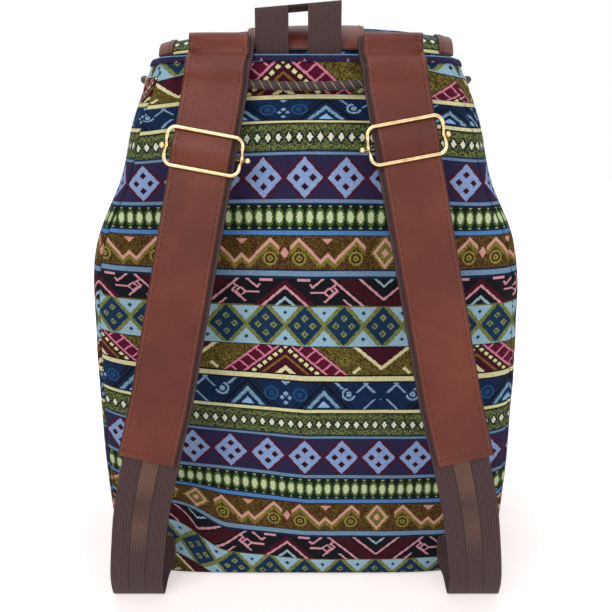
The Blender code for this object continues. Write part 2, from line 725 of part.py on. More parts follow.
def build_slider(parts, gilt, sign, side, drop):
    """A bent wire frame in front of the strap, and the bar behind it that the strap bears on."""
    top = Vector((sign * RUN_TOP[0], RUN_TOP[1], RUN_TOP[2]))
    foot = Vector((sign * RUN_FOOT[0], RUN_FOOT[1], RUN_FOOT[2]))
    down = (foot - top).normalized()
    across = (Vector((1, 0, 0)) - down.x * down).normalized()
    face = down.cross(across)
    centre = top + down * drop

    def place(w, h, lift):
        return centre + across * w - down * h + face * lift

    wire_radius = SLIDER_WIRE / 2
    rail = WEBBING / 2 + LEATHER_GAP + STRAP_LEATHER + GAP + wire_radius
    bar = -(WEBBING / 2 + GAP + BAR_DIAMETER / 2)
    dip = bar + BAR_DIAMETER / 2 + GAP + wire_radius
    half_w = SLIDER_WIDTH / 2 - wire_radius
    half_h = SLIDER_HEIGHT / 2 - wire_radius
    straight_w, straight_h = half_w - SLIDER_CORNER, half_h - SLIDER_CORNER

    quarter = []
    for h in spaced(0.0, straight_h, 5):
        sink = (rail - dip) * (1 - smooth(h / straight_h)) if straight_h > 0 else 0
        quarter.append((half_w, h, rail - sink))
    for i in range(1, 5):
        turn = math.pi / 2 * i / 4
        quarter.append((straight_w + SLIDER_CORNER * math.cos(turn), straight_h + SLIDER_CORNER * math.sin(turn), rail))
    quarter.append((0.0, half_h, rail))
    loop = quarter + [(-w, h, lift) for w, h, lift in reversed(quarter[:-1])]
    loop += [(w, -h, lift) for w, h, lift in reversed(loop[1:-1])]
    wire(f"slider_{side}_frame", [place(*p) for p in loop], wire_radius, gilt, parts, closed=True)

    ball = BAR_BALL / 2
    reach = half_w + wire_radius + GAP + ball
    bar_radius = BAR_DIAMETER / 2
    join = math.asin(bar_radius / ball)
    end = [(ball * math.sin(t), reach + ball * math.cos(t)) for t in spaced(0.0, math.pi - join, 6)]
    end[0] = (0, end[0][1])
    profile = end + [(r, -h) for r, h in reversed(end)]
    turned(f"slider_{side}_bar", profile, across, place(0, 0, bar), gilt, parts, 12)


def main():
    for old in list(bpy.data.objects):
        bpy.data.objects.remove(old)
    parts = in_collection("backpack")
    helpers = in_collection("cutters", render=False)
    canvas = material("woven canvas", "2A3F4C", 0.85)
    leather = material("brown leather", "6B2D1E", 0.45)
    webbing = material("brown webbing", "43302F", 0.7)
    cord_finish = material("twisted cord", "2E2422", 0.7)
    gilt = material("gilt steel", "D9B77A", 0.25, 1.0)

    back, front = build_bag(parts, canvas)
    build_hem(parts, canvas)
    build_eyelets(parts, helpers, gilt, back, front)
    build_cord(parts, cord_finish)
    build_flap(parts, canvas, leather, gilt)
    build_handle(parts, webbing)
    for sign, side, drop in ((-1, "left", LEFT_SLIDER_DROP), (1, "right", RIGHT_SLIDER_DROP)):
        build_strap(parts, webbing, leather, sign, side)
        build_slider(parts, gilt, sign, side, drop)


main()
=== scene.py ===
import math

import bmesh
import bpy
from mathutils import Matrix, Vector, noise


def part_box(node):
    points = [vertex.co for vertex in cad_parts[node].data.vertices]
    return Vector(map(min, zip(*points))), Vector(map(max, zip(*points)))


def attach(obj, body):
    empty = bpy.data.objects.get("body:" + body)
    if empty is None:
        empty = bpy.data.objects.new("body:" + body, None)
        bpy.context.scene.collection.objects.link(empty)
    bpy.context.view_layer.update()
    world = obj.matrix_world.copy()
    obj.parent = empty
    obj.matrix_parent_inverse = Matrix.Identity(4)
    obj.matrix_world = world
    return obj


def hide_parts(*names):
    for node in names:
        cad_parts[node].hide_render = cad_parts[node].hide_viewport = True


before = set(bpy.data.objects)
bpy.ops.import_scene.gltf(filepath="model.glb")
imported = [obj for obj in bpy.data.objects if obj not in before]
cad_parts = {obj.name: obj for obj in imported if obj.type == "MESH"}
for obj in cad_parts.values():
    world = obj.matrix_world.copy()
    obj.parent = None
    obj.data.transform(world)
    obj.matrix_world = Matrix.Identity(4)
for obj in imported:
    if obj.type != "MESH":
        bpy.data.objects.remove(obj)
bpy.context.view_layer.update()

# What a user would change, a dictionary for each piece; metres, and degrees where the name says so
view = {"place": (0.0, -0.522, 0.344), "tiltDegrees": 75.0, "lens": 38.5, "pixels": 612, "samples": 160}
bag = {
    "hemHeight": 0.392, "baseWidth": 0.298, "bellyWidth": 0.326, "bellyHeight": 0.215, "backInset": 0.0005,
    "shoulderWidth": 0.272,
    "shoulderHeight": 0.312, "mouthWidth": 0.214, "backY": -0.071, "baseFrontY": 0.064, "bellyFrontY": 0.074,
    "mouthFrontY": 0.030, "baseInset": 0.009, "canvas": 0.0016, "seamDegrees": 52, "gatherDepth": 0.0020,
    "gatherStart": 0.290, "gap": 0.0003, "wrinkle": 0.0011, "pucker": 0.0008, "seamDip": 0.0010,
}
hem = {"band": 0.0045, "tape": 0.0010, "clear": 0.0005}
eyelet = {"radius": 0.0092, "bore": 0.0050, "wall": 0.0007, "flange": 0.0009, "lip": 0.0008, "backX": 0.071,
          "frontX": (0.024, 0.071)}
cord = {"diameter": 0.006, "sag": 0.006, "tail": 0.110, "pitch": 0.0058, "strands": 2, "knot": 0.013}
flap = {
    "baseWidth": 0.200, "width": 0.208, "canvas": 0.0012, "rise": 0.030, "sideDrop": 0.010, "lean": 0.003,
    "standoff": 0.0110, "endHeight": 0.292, "corner": 0.035, "binding": 0.010, "bindingLeather": 0.0010,
    "centreWidth": 0.078, "centreLeather": 0.0012, "seamRun": 0.06, "archRun": 0.52,
}
handle = {"width": 0.0215, "webbing": 0.0013, "centre": -0.005, "spread": 0.034, "leftTop": 0.4192,
          "rightTop": 0.4238, "fold": 0.0013, "standsOff": 0.0032}
strap = {
    "width": 0.038, "webbing": 0.0015, "leather": 0.0020, "leatherGap": 0.0005, "backing": 0.003,
    "foldHeight": 0.4035, "top": (0.0575, -0.0818, 0.372), "foot": (0.0950, -0.1190, 0.172),
    "leatherEnd": 0.130,
    "stitchInset": 0.0028, "stitchPitch": 0.0042, "stitch": 0.0026, "thread": 0.00062,
}
slider = {"width": 0.051, "height": 0.027, "wire": 0.0026, "corner": 0.0055, "bar": 0.0022, "ball": 0.0042,
          "drops": {"left": 0.043, "right": 0.036}, "bulge": 0.0026}
# The woven pattern, in millimetres: its repeat up the cloth, where one starts, and its columns across
weave = {"repeat": 208.5, "start": 193.2, "column": 28.0, "axis": -15.2, "thread": 0.62}


def smooth(value):
    value = min(max(value, 0.0), 1.0)
    return value * value * (3 - 2 * value)


def spaced(low, high, count):
    return [low + (high - low) * i / (count - 1) for i in range(count)]


# The value at this height on a smooth curve through (height, value) pairs
def through(keys, at):
    if at <= keys[0][0]:
        return keys[0][1]
    for i in range(len(keys) - 1):
        (low, a), (high, b) = keys[i], keys[i + 1]
        if at <= high:
            before = keys[max(i - 1, 0)]
            after = keys[min(i + 2, len(keys) - 1)]
            slopeA = (b - before[1]) / (high - before[0])
            slopeB = (after[1] - a) / (after[0] - low)
            t = (at - low) / (high - low)
            run = high - low
            return ((2 * t**3 - 3 * t**2 + 1) * a + (t**3 - 2 * t**2 + t) * run * slopeA
                    + (3 * t**2 - 2 * t**3) * b + (t**3 - t**2) * run * slopeB)
    return keys[-1][1]


def catmull(points, steps):
    points = [Vector(p) for p in points]
    ends = [2 * points[0] - points[1]] + points + [2 * points[-1] - points[-2]]
    found = []
    for a, b, c, d in zip(ends, ends[1:], ends[2:], ends[3:]):
        for i in range(steps):
            t = i / steps
            found.append(0.5 * (2 * b + (c - a) * t + (2 * a - 5 * b + 4 * c - d) * t**2
                                + (3 * b - a - 3 * c + d) * t**3))
    return found + [points[-1]]


# The route at even steps of about this length
def resampled(points, step):
    lengths = [0.0]
    for a, b in zip(points, points[1:]):
        lengths.append(lengths[-1] + (b - a).length)
    count = max(int(lengths[-1] / step), 2)
    found, i = [], 0
    for k in range(count + 1):
        at = lengths[-1] * k / count
        while i < len(points) - 2 and lengths[i + 1] < at:
            i += 1
        share = (at - lengths[i]) / max(lengths[i + 1] - lengths[i], 1e-9)
        found.append(points[i].lerp(points[i + 1], share))
    return found, lengths[-1]


# The bag's shape, as in the part's source but for the foot of the back, which stands further out
halfWidthKeys = (
    (0.0, bag["baseWidth"] / 2 - bag["baseInset"]),
    (0.012, bag["baseWidth"] / 2),
    (0.040, bag["baseWidth"] * 0.3 + bag["bellyWidth"] * 0.22),
    (bag["bellyHeight"], bag["bellyWidth"] / 2),
    (0.265, bag["bellyWidth"] * 0.48),
    (bag["shoulderHeight"], bag["shoulderWidth"] / 2),
    (0.350, bag["shoulderWidth"] * 0.25 + bag["mouthWidth"] * 0.27),
    (bag["hemHeight"], bag["mouthWidth"] / 2),
)
backKeys = (
    (0.0, bag["backY"] + bag["backInset"]), (0.012, bag["backY"] - 0.0005), (0.150, bag["backY"] - 0.002),
    (0.260, bag["backY"] - 0.001), (bag["hemHeight"], bag["backY"]),
)
frontKeys = (
    (0.0, bag["baseFrontY"] - bag["baseInset"]), (0.012, bag["baseFrontY"]), (0.120, bag["bellyFrontY"]),
    (0.215, bag["bellyFrontY"] - 0.004), (0.300, 0.5 * (bag["bellyFrontY"] + bag["mouthFrontY"])),
    (bag["hemHeight"], bag["mouthFrontY"]),
)
squarenessKeys = ((0.0, 5.5), (0.220, 4.6), (0.312, 3.7), (bag["hemHeight"], 3.2))


def section(z):
    back, front = through(backKeys, z), through(frontKeys, z)
    return through(halfWidthKeys, z), (front - back) / 2, (front + back) / 2, through(squarenessKeys, z)


# Angle 0 is the middle of the back panel and 90 degrees is +X
def outline(angle, z):
    a, b, middle, n = section(z)
    reach = (abs(math.sin(angle)) ** n + abs(math.cos(angle)) ** n) ** (-1 / n)
    return Vector((a * reach * math.sin(angle), middle - b * reach * math.cos(angle), z))


def angleAt(x, z, front=False):
    low, high = 0.0, math.pi / 2
    for _ in range(40):
        middle = (low + high) / 2
        if outline(middle, z).x < abs(x):
            low = middle
        else:
            high = middle
    return math.copysign(math.pi - low if front else low, x)


eyeletHeight = bag["hemHeight"] - hem["band"] - eyelet["radius"] - 0.0005
eyeletAngles = [angleAt(eyelet["backX"], eyeletHeight), math.pi / 2]
eyeletAngles += [angleAt(x, eyeletHeight, front=True) for x in reversed(eyelet["frontX"])]


def gather(angle, z):
    fromBack = abs((angle + math.pi) % math.tau - math.pi)
    stations = eyeletAngles + [math.tau - eyeletAngles[-1]]
    for low, high in zip(stations, stations[1:]):
        if low < fromBack < high:
            share = smooth((fromBack - low) / (high - low) * 1.5 - 0.25)
            rise = smooth((z - bag["gatherStart"]) / (bag["hemHeight"] - bag["gatherStart"]))
            return rise * bag["gatherDepth"] * math.sin(math.pi * share) ** 2
    return 0.0


def wallAxes(angle, z):
    step = 0.01
    along = (outline(angle + step, z) - outline(angle - step, z)).normalized()
    up = outline(angle, z + step) - outline(angle, z - step)
    out = along.cross(up).normalized()
    return along, out.cross(along), out


def outwardAt(angle, z):
    step = 0.01
    along = outline(angle + step, z) - outline(angle - step, z)
    return Vector((along.y, -along.x, 0)).normalized()


def bagPoint(angle, z, out=0.0):
    return outline(angle, z) + outwardAt(angle, z) * (out - gather(angle, z))


def sideY(x, z, grow, front):
    a, b, middle, n = section(z)
    inside = max(1 - (abs(x) / (a + grow)) ** n, 0.0)
    reach = (b + grow) * inside ** (1 / n)
    return middle + reach if front else middle - reach


# Nodes for the materials
def linear(code):
    def one(value):
        return value / 12.92 if value <= 0.04045 else ((value + 0.055) / 1.055) ** 2.4
    return tuple(one(int(code[i : i + 2], 16) / 255) for i in (0, 2, 4)) + (1.0,)


def addNode(tree, kind, settings=None, links=None):
    made = tree.nodes.new(kind)
    for name, value in (settings or {}).items():
        setattr(made, name, value)
    for name, value in (links or {}).items():
        socket = made.inputs[name]
        if isinstance(value, bpy.types.NodeSocket):
            tree.links.new(value, socket)
        else:
            socket.default_value = value
    return made


# A number in a shader, so that a pattern is written as sums
class Field:
    def __init__(self, tree, socket):
        self.tree = tree
        self.socket = socket

    def math(self, operation, *others):
        made = self.tree.nodes.new("ShaderNodeMath")
        made.operation = operation
        for socket, value in zip(made.inputs, (self, *others)):
            if isinstance(value, Field):
                self.tree.links.new(value.socket, socket)
            else:
                socket.default_value = value
        return Field(self.tree, made.outputs[0])

    def __add__(self, other):
        return self.math("ADD", other)

    def __sub__(self, other):
        return self.math("SUBTRACT", other)

    def __mul__(self, other):
        return self.math("MULTIPLY", other)

    def __truediv__(self, other):
        return self.math("DIVIDE", other)

    def __abs__(self):
        return self.math("ABSOLUTE")

    def below(self, other):
        return self.math("LESS_THAN", other)

    def above(self, other):
        return self.math("GREATER_THAN", other)

    def near(self, centre, reach):
        return self.math("COMPARE", centre, reach)

    def either(self, other):
        return self.math("MAXIMUM", other)

    def folded(self, half):
        return self.math("PINGPONG", half)


def mixed(tree, share, under, over):
    made = addNode(tree, "ShaderNodeMix", {"data_type": "RGBA"})
    for socket, value in zip((made.inputs[0], made.inputs[6], made.inputs[7]), (share, under, over)):
        if isinstance(value, Field):
            value = value.socket
        if isinstance(value, bpy.types.NodeSocket):
            tree.links.new(value, socket)
        else:
            socket.default_value = value
    return made.outputs[2]


def ramp(tree, value, stops, interpolation="LINEAR"):
    made = tree.nodes.new("ShaderNodeValToRGB")
    made.color_ramp.interpolation = interpolation
    elements = made.color_ramp.elements
    while len(elements) < len(stops):
        elements.new(0.5)
    for element, (place, shade) in zip(elements, stops):
        element.position = place
        element.color = linear(shade) if isinstance(shade, str) else (shade, shade, shade, 1)
    tree.links.new(value.socket if isinstance(value, Field) else value, made.inputs[0])
    return made.outputs[0]


def newMaterial(name):
    made = bpy.data.materials.new(name)
    made.use_nodes = True
    return made, made.node_tree, made.node_tree.nodes["Principled BSDF"]


# The bands of the woven cloth, bottom to top: where each starts in the repeat, in millimetres, and its ground
grounds = (
    (0.0, "9CC4DA"), (29.0, "6E6A35"), (29.8, "14131A"), (49.4, "182A44"), (50.8, "7FA0BE"), (55.2, "182A44"),
    (56.2, "4A2C18"), (79.6, "16305A"), (80.6, "5A8FCC"), (83.6, "142038"), (84.8, "121C12"),
    (101.2, "17304A"),
    (102.4, "7896BA"), (104.6, "1B2C4A"), (105.6, "2A2A4C"), (134.0, "1B2C4A"), (134.8, "7896BA"),
    (136.8, "17304A"), (138.4, "2A3520"), (154.8, "10141C"), (155.6, "F2EBB4"), (158.4, "10141C"),
    (159.4, "152C50"), (180.4, "10141C"), (181.2, "F2EBB4"), (185.6, "10141C"),
    (186.6, "4A1426"), (207.6, "0C0C12"),
)


# A cloth that is being coloured: each motif is laid over what is there
class Cloth:
    def __init__(self, tree):
        self.tree = tree
        uv = addNode(tree, "ShaderNodeUVMap", {"uv_map": "cloth"})
        parts = addNode(tree, "ShaderNodeSeparateXYZ", links={"Vector": uv.outputs[0]})
        self.u = Field(tree, parts.outputs[0]) * 1000
        self.v = Field(tree, parts.outputs[1]) * 1000
        thread = weave["thread"]
        across = (self.u / thread).math("FLOOR")
        up = (self.v / thread).math("FLOOR")
        cell = addNode(tree, "ShaderNodeCombineXYZ", links={"X": across.socket, "Y": up.socket})
        speck = addNode(tree, "ShaderNodeTexWhiteNoise", {"noise_dimensions": "2D"},
                        {"Vector": cell.outputs[0]})
        self.speck = Field(tree, speck.outputs["Value"])
        self.s = across * thread - weave["axis"]
        self.p = self.s.folded(weave["column"] * 2.5)
        self.h = (up * thread - weave["start"]).math("FLOORED_MODULO", weave["repeat"])
        self.column = (self.s.folded(weave["column"] / 2) * -1) + weave["column"] / 2
        self.small = (self.s.folded(weave["column"] / 8) * -1) + weave["column"] / 8
        stops = [(start / weave["repeat"], shade) for start, shade in grounds]
        self.colour = ramp(tree, self.h / weave["repeat"], stops, "CONSTANT")

    def lay(self, mask, shade, fleck=None, share=0.3):
        over = linear(shade)
        if fleck:
            over = mixed(self.tree, self.speck.below(share), over, linear(fleck))
        self.colour = mixed(self.tree, mask, self.colour, over)

    def band(self, low, high):
        return self.h.near((low + high) / 2, (high - low) / 2)


def bigDiamonds(cloth):
    band = cloth.band(105.6, 134.0)
    rise = abs(cloth.h - 119.8)
    reach = cloth.column / 12.4 + rise / 13.9
    cloth.lay(band, "2A2C50", "3E2440", 0.35)
    cloth.lay(band * reach.near(1.1, 0.12), "4E1A2C")
    cloth.lay(band * reach.below(1.0), "8CA9DE", "B4C8EE", 0.3)
    dots = (abs(cloth.column - 5.5) + rise).below(2.7)
    cloth.lay(band * dots.either((cloth.column + abs(rise - 5.9)).below(2.7)), "38101E")


def smallDiamonds(cloth):
    band = cloth.band(138.4, 154.8)
    rise = abs(cloth.h - 146.6)
    cloth.lay(band, "2C3A24", "7E8650", 0.42)
    cloth.lay(band * abs(rise - cloth.small * 0.8).near(4.6, 0.5), "8C9258", "5A6434", 0.4)
    cloth.lay(band * (cloth.small / 3.6 + rise / 5.0).below(1.0), "14242C")
    cloth.lay(band * (cloth.small / 2.1 + rise / 3.2).below(1.0), "F2F4DA")


def ovals(cloth):
    band = cloth.band(84.8, 101.2)
    rise = abs(cloth.h - 93.0)
    wide = cloth.small * cloth.small
    tall = rise * rise
    cloth.lay(band * (wide / 10.5 + tall / 40.0).below(1.0), "3E5A28", "6C8842", 0.4)
    cloth.lay(band * (wide / 4.6 + tall / 17.0).below(1.0), "CDDEA8", "EEF4D6", 0.35)
    cloth.lay(band * (cloth.small - rise).below(-6.6), "A6BE86")


def tealDiamonds(cloth):
    band = cloth.band(0.3, 29.2)
    rise = abs(cloth.h - 15.0)
    reach = cloth.column / 12.6 + rise / 14.6
    cloth.lay(band, "9CC4DA", "BBDCEC", 0.35)
    cloth.lay(band * (abs(cloth.column - 14.0) + abs(rise - 9.7)).below(1.7), "1E4060")
    cloth.lay(band * reach.below(1.3), "6E7838", "A2A864", 0.35)
    cloth.lay(band * reach.below(1.0), "163A5C", "20304E", 0.35)
    side = (abs(cloth.column - 5.6) + rise).near(1.9, 0.85)
    cloth.lay(band * side.either((cloth.column + abs(rise - 5.9)).near(1.9, 0.85)), "9AA060", "6E7838", 0.4)


# A line that goes straight from point to point: its height at this place, both in millimetres
def zigzagLine(tree, place, points, width, height):
    made = addNode(tree, "ShaderNodeFloatCurve", links={"Value": (place / width).socket})
    line = made.mapping.curves[0]
    while len(line.points) < len(points):
        line.points.new(0.5, 0.5)
    for point, (x, y) in zip(line.points, points):
        point.location = (x / width, y / height)
        point.handle_type = "VECTOR"
    made.mapping.update()
    return Field(tree, made.outputs[0]) * height


def zigzags(cloth):
    band = cloth.band(56.2, 79.6)
    down = (cloth.h * -1) + 79.6
    aside = abs(cloth.p - 30.0)
    line = zigzagLine(cloth.tree, aside, ((0, 13.0), (5, 17.8), (20, 2.0), (27, 9.0), (40, 9.0)), 40, 24)
    off = down - line
    cloth.lay(band, "4A2A18", "7A6A2C", 0.3)
    arm = band * aside.below(26.5)
    cloth.lay(arm * off.near(3.0, 2.2), "8C843A", "6A4A22", 0.3)
    cloth.lay(arm * abs(off).below(1.55), "E2A394", "F0C0A8", 0.3)
    curlAcross, curlDown = aside - 19.8, down - 15.6
    curl = (curlAcross * curlAcross + curlDown * curlDown).math("SQRT")
    cloth.lay(band * curl.below(5.4), "3E1C12")
    cloth.lay(band * curl.near(4.3, 0.8).either(curl.near(1.4, 0.7)), "8C843A", "B0A458", 0.3)
    cloth.lay(band * (aside + down).below(5.6) * down.above(1.6), "E2A394")
    far = abs(cloth.p - 70.0) / 8.2 + abs(down - 11.6) / 10.8
    cloth.lay(band * far.below(1.25), "8C843A", "6A5A26", 0.4)
    cloth.lay(band * far.near(0.9, 0.14).either(far.below(0.3)), "E8B0A0")
    cloth.lay(band * (cloth.p + abs(down - 11.6) * 0.7).below(3.0), "E2A394")


def keys(cloth):
    band = cloth.band(29.8, 49.4)
    down = (cloth.h * -1.15) + 49.4 * 1.15
    rising, falling = cloth.p + down, cloth.p - down
    cloth.lay(band * falling.near(-2.6, 2.4), "4A1222")
    cloth.lay(band * falling.near(43.0, 6.4), "38101C", "5A1A28", 0.3)
    pink = abs(falling + 6.6).below(1.25)
    pink = pink.either(falling.near(33.0, 1.2))
    pink = pink.either(falling.near(52.8, 1.2) * down.below(17.4))
    pink = pink.either(down.near(0.8, 0.9) * cloth.p.near(13.5, 4.6))
    pink = pink.either(rising.near(26.8, 1.1) * down.below(7.6))
    pink = pink.either(falling.near(13.0, 1.1) * rising.near(24.4, 2.6))
    pink = pink.either(down.near(11.2, 0.95) * cloth.p.near(23.2, 5.2))
    pink = pink.either((abs(cloth.p - 31.4) + abs(down - 11.2)).near(3.6, 0.9))
    pink = pink.either(rising.near(47.4, 1.1) * falling.near(18.0, 9.6))
    pink = pink.either(falling.near(27.6, 1.0) * rising.near(45.0, 3.2))
    pink = pink.either(rising.near(40.6, 1.0) * falling.near(28.6, 3.0))
    pink = pink.either(falling.near(24.4, 1.0) * down.above(17.0))
    cloth.lay(band * pink, "E59DAC", "F2C0C8", 0.2)
    light = falling.near(-16.0, 1.4).either(falling.near(64.0, 1.1) * down.below(8.0))
    cloth.lay(band * light, "A6C8D2")


def ladders(cloth):
    band = cloth.band(186.6, 207.6)
    down = (cloth.h * -1.19) + 207.6 * 1.19
    rising, falling = cloth.p + down, cloth.p - down
    cloth.lay(band, "4A1426", "3A1420", 0.3)
    cloth.lay(band * falling.near(35.0, 13.6), "4C3418", "86803C", 0.42)
    cloth.lay(band * falling.near(12.2, 7.6), "5E1430")
    rungs = (rising - 24.5).folded(6.0).below(0.95) * falling.near(12.2, 7.0)
    sides = falling.near(5.1, 1.15).either(falling.near(19.4, 1.15))
    cloth.lay(band * rungs.either(sides), "E288A0", "F0A8B8", 0.2)
    cloth.lay(band * falling.near(-0.8, 3.1), "3C1E10")
    cloth.lay(band * falling.near(-0.8, 1.9) * rising.folded(3.85).below(2.3), "F2EBB4")
    cloth.lay(band * falling.near(-8.4, 1.2), "8A6A30")
    cream = falling.near(-19.5, 2.2).either(falling.near(51.0, 1.9))
    cream = cream.either(rising.near(72.5, 1.8) * falling.near(31.0, 5.0))
    cloth.lay(band * cream, "F2EBB4")
    ring = abs(cloth.p - 43.5) + abs(down - 12.6)
    cloth.lay(band * ring.near(3.6, 1.0), "8E8840", "4C3418", 0.2)


def scrolls(cloth):
    band = cloth.band(159.4, 180.4)
    down = (cloth.h * -1) + 180.4
    aside = abs(cloth.p - 28.0)
    inside = down - 5.6 - aside * 1.15
    cloth.lay(band, "163056", "122444", 0.4)
    cloth.lay(band * inside.near(-5.2, 2.0), "0D1626")
    cloth.lay(band * inside.near(-10.6, 1.2), "101C30")
    cloth.lay(band * inside.near(2.2, 2.0) * down.below(20.2), "8FB8CE", "6C94B0", 0.4)
    cloth.lay(band * inside.above(8.6) * down.below(19.6), "9CC8F0")
    stars = (cloth.p + abs(down - 9.8)).below(1.9)
    stars = stars.either((abs(cloth.p - 2.8) + abs(down - 12.8)).below(1.7))
    stars = stars.either((cloth.p + abs(down - 17.0)).below(1.9))
    stars = stars.either((cloth.p + down).below(3.0))
    scrollAcross, scrollDown = cloth.p - 46.5, down - 9.0
    ring = (scrollAcross * scrollAcross + scrollDown * scrollDown).math("SQRT")
    stars = stars.either(ring.near(4.4, 0.8) * (cloth.p - down).below(41.0))
    stars = stars.either(ring.near(1.2, 0.9))
    stars = stars.either((cloth.p + down).near(60.0, 1.0) * down.below(8.0))
    stars = stars.either((cloth.p - down).near(37.0, 1.0) * down.below(5.0))
    cross = abs(cloth.p - 68.0) - abs(down - 10.5)
    stars = stars.either(abs(cross).below(1.1) * abs(down - 10.5).above(2.6) * cloth.p.above(57.0))
    cloth.lay(band * stars, "9DBEDA", "7A9CC0", 0.3)
    dim = cloth.p - 10.5
    coil = (dim * dim + (down - 10.0) * (down - 10.0)).math("SQRT")
    cloth.lay(band * coil.near(4.6, 0.9).either(coil.near(1.4, 0.8)), "24507E")


def canvasMaterial(name="woven canvas"):
    made, tree, shader = newMaterial(name)
    cloth = Cloth(tree)
    for motif in (tealDiamonds, keys, zigzags, ovals, bigDiamonds, smallDiamonds, scrolls, ladders):
        motif(cloth)
    shade = cloth.speck * 0.34 + 0.80
    tinted = addNode(tree, "ShaderNodeMix", {"data_type": "RGBA", "blend_type": "MULTIPLY"})
    tinted.inputs[0].default_value = 1.0
    tree.links.new(cloth.colour, tinted.inputs[6])
    grey = addNode(tree, "ShaderNodeCombineXYZ", links={axis: shade.socket for axis in "XYZ"})
    tree.links.new(grey.outputs[0], tinted.inputs[7])
    tree.links.new(tinted.outputs[2], shader.inputs["Base Color"])
    turn = math.pi / weave["thread"]
    warp = abs((cloth.u * turn).math("SINE"))
    weft = abs((cloth.v * turn).math("SINE"))
    height = warp * weft * 0.7 + cloth.speck * 0.3
    bump = addNode(tree, "ShaderNodeBump",
                   links={"Height": height.socket, "Strength": 0.55, "Distance": 0.0003})
    tree.links.new(bump.outputs[0], shader.inputs["Normal"])
    shader.inputs["Roughness"].default_value = 0.9
    shader.inputs["Specular IOR Level"].default_value = 0.15
    return made


def liningMaterial():
    made, tree, shader = newMaterial("dark lining cloth")
    spot = addNode(tree, "ShaderNodeTexCoord")
    grain = addNode(tree, "ShaderNodeTexNoise", links={"Vector": spot.outputs["Object"], "Scale": 900.0})
    shades = ramp(tree, grain.outputs["Fac"], ((0.3, "1C1816"), (0.7, "332C28")))
    tree.links.new(shades, shader.inputs["Base Color"])
    bump = addNode(tree, "ShaderNodeBump",
                   links={"Height": grain.outputs["Fac"], "Strength": 0.4, "Distance": 0.0003})
    tree.links.new(bump.outputs[0], shader.inputs["Normal"])
    shader.inputs["Roughness"].default_value = 0.9
    return made


# Grained leather; the cloth map's u is the distance from the strip's middle line, and edge is its half width
def leatherMaterial(name, edge=None):
    made, tree, shader = newMaterial(name)
    spot = addNode(tree, "ShaderNodeTexCoord")
    where = spot.outputs["Object"]
    broad = addNode(tree, "ShaderNodeTexNoise", links={"Vector": where, "Scale": 22.0, "Detail": 3.0})
    fine = addNode(tree, "ShaderNodeTexNoise", links={"Vector": where, "Scale": 700.0, "Detail": 4.0})
    cells = addNode(tree, "ShaderNodeTexVoronoi", {"feature": "DISTANCE_TO_EDGE"},
                    {"Vector": where, "Scale": 760.0})
    shades = ramp(tree, broad.outputs["Fac"], ((0.28, "582416"), (0.52, "6C2E1D"), (0.75, "7E3D2A")))
    crease = ramp(tree, cells.outputs["Distance"], ((0.0, 0.0), (0.12, 1.0)))
    colour = mixed(tree, Field(tree, crease) * 0.3 + 0.7, linear("3A140B"), shades)
    if edge:
        uv = addNode(tree, "ShaderNodeUVMap", {"uv_map": "cloth"})
        parts = addNode(tree, "ShaderNodeSeparateXYZ", links={"Vector": uv.outputs[0]})
        aside = abs(Field(tree, parts.outputs[0])) * 1000
        burnt = addNode(tree, "ShaderNodeMapRange", {"interpolation_type": "SMOOTHSTEP"},
                        {"Value": aside.socket, "From Min": edge * 1000 - 1.6, "From Max": edge * 1000 - 0.2})
        colour = mixed(tree, Field(tree, burnt.outputs[0]) * 0.75, colour, linear("2C0D08"))
        # a paler line 2 mm inside each edge, over the darker edge
        paleEdgeLine = aside.near(edge * 1000 - 2.0, 0.35)
        colour = mixed(tree, paleEdgeLine * 0.35, colour, linear("96553F"))
    tree.links.new(colour, shader.inputs["Base Color"])
    height = Field(tree, crease) * 0.5 + Field(tree, fine.outputs["Fac"]) * 0.35
    height = height + Field(tree, broad.outputs["Fac"]) * 1.6
    bump = addNode(tree, "ShaderNodeBump",
                   links={"Height": height.socket, "Strength": 0.32, "Distance": 0.0004})
    tree.links.new(bump.outputs[0], shader.inputs["Normal"])
    rough = Field(tree, fine.outputs["Fac"]) * 0.22 + 0.30
    tree.links.new(rough.socket, shader.inputs["Roughness"])
    shader.inputs["Specular IOR Level"].default_value = 0.32
    return made
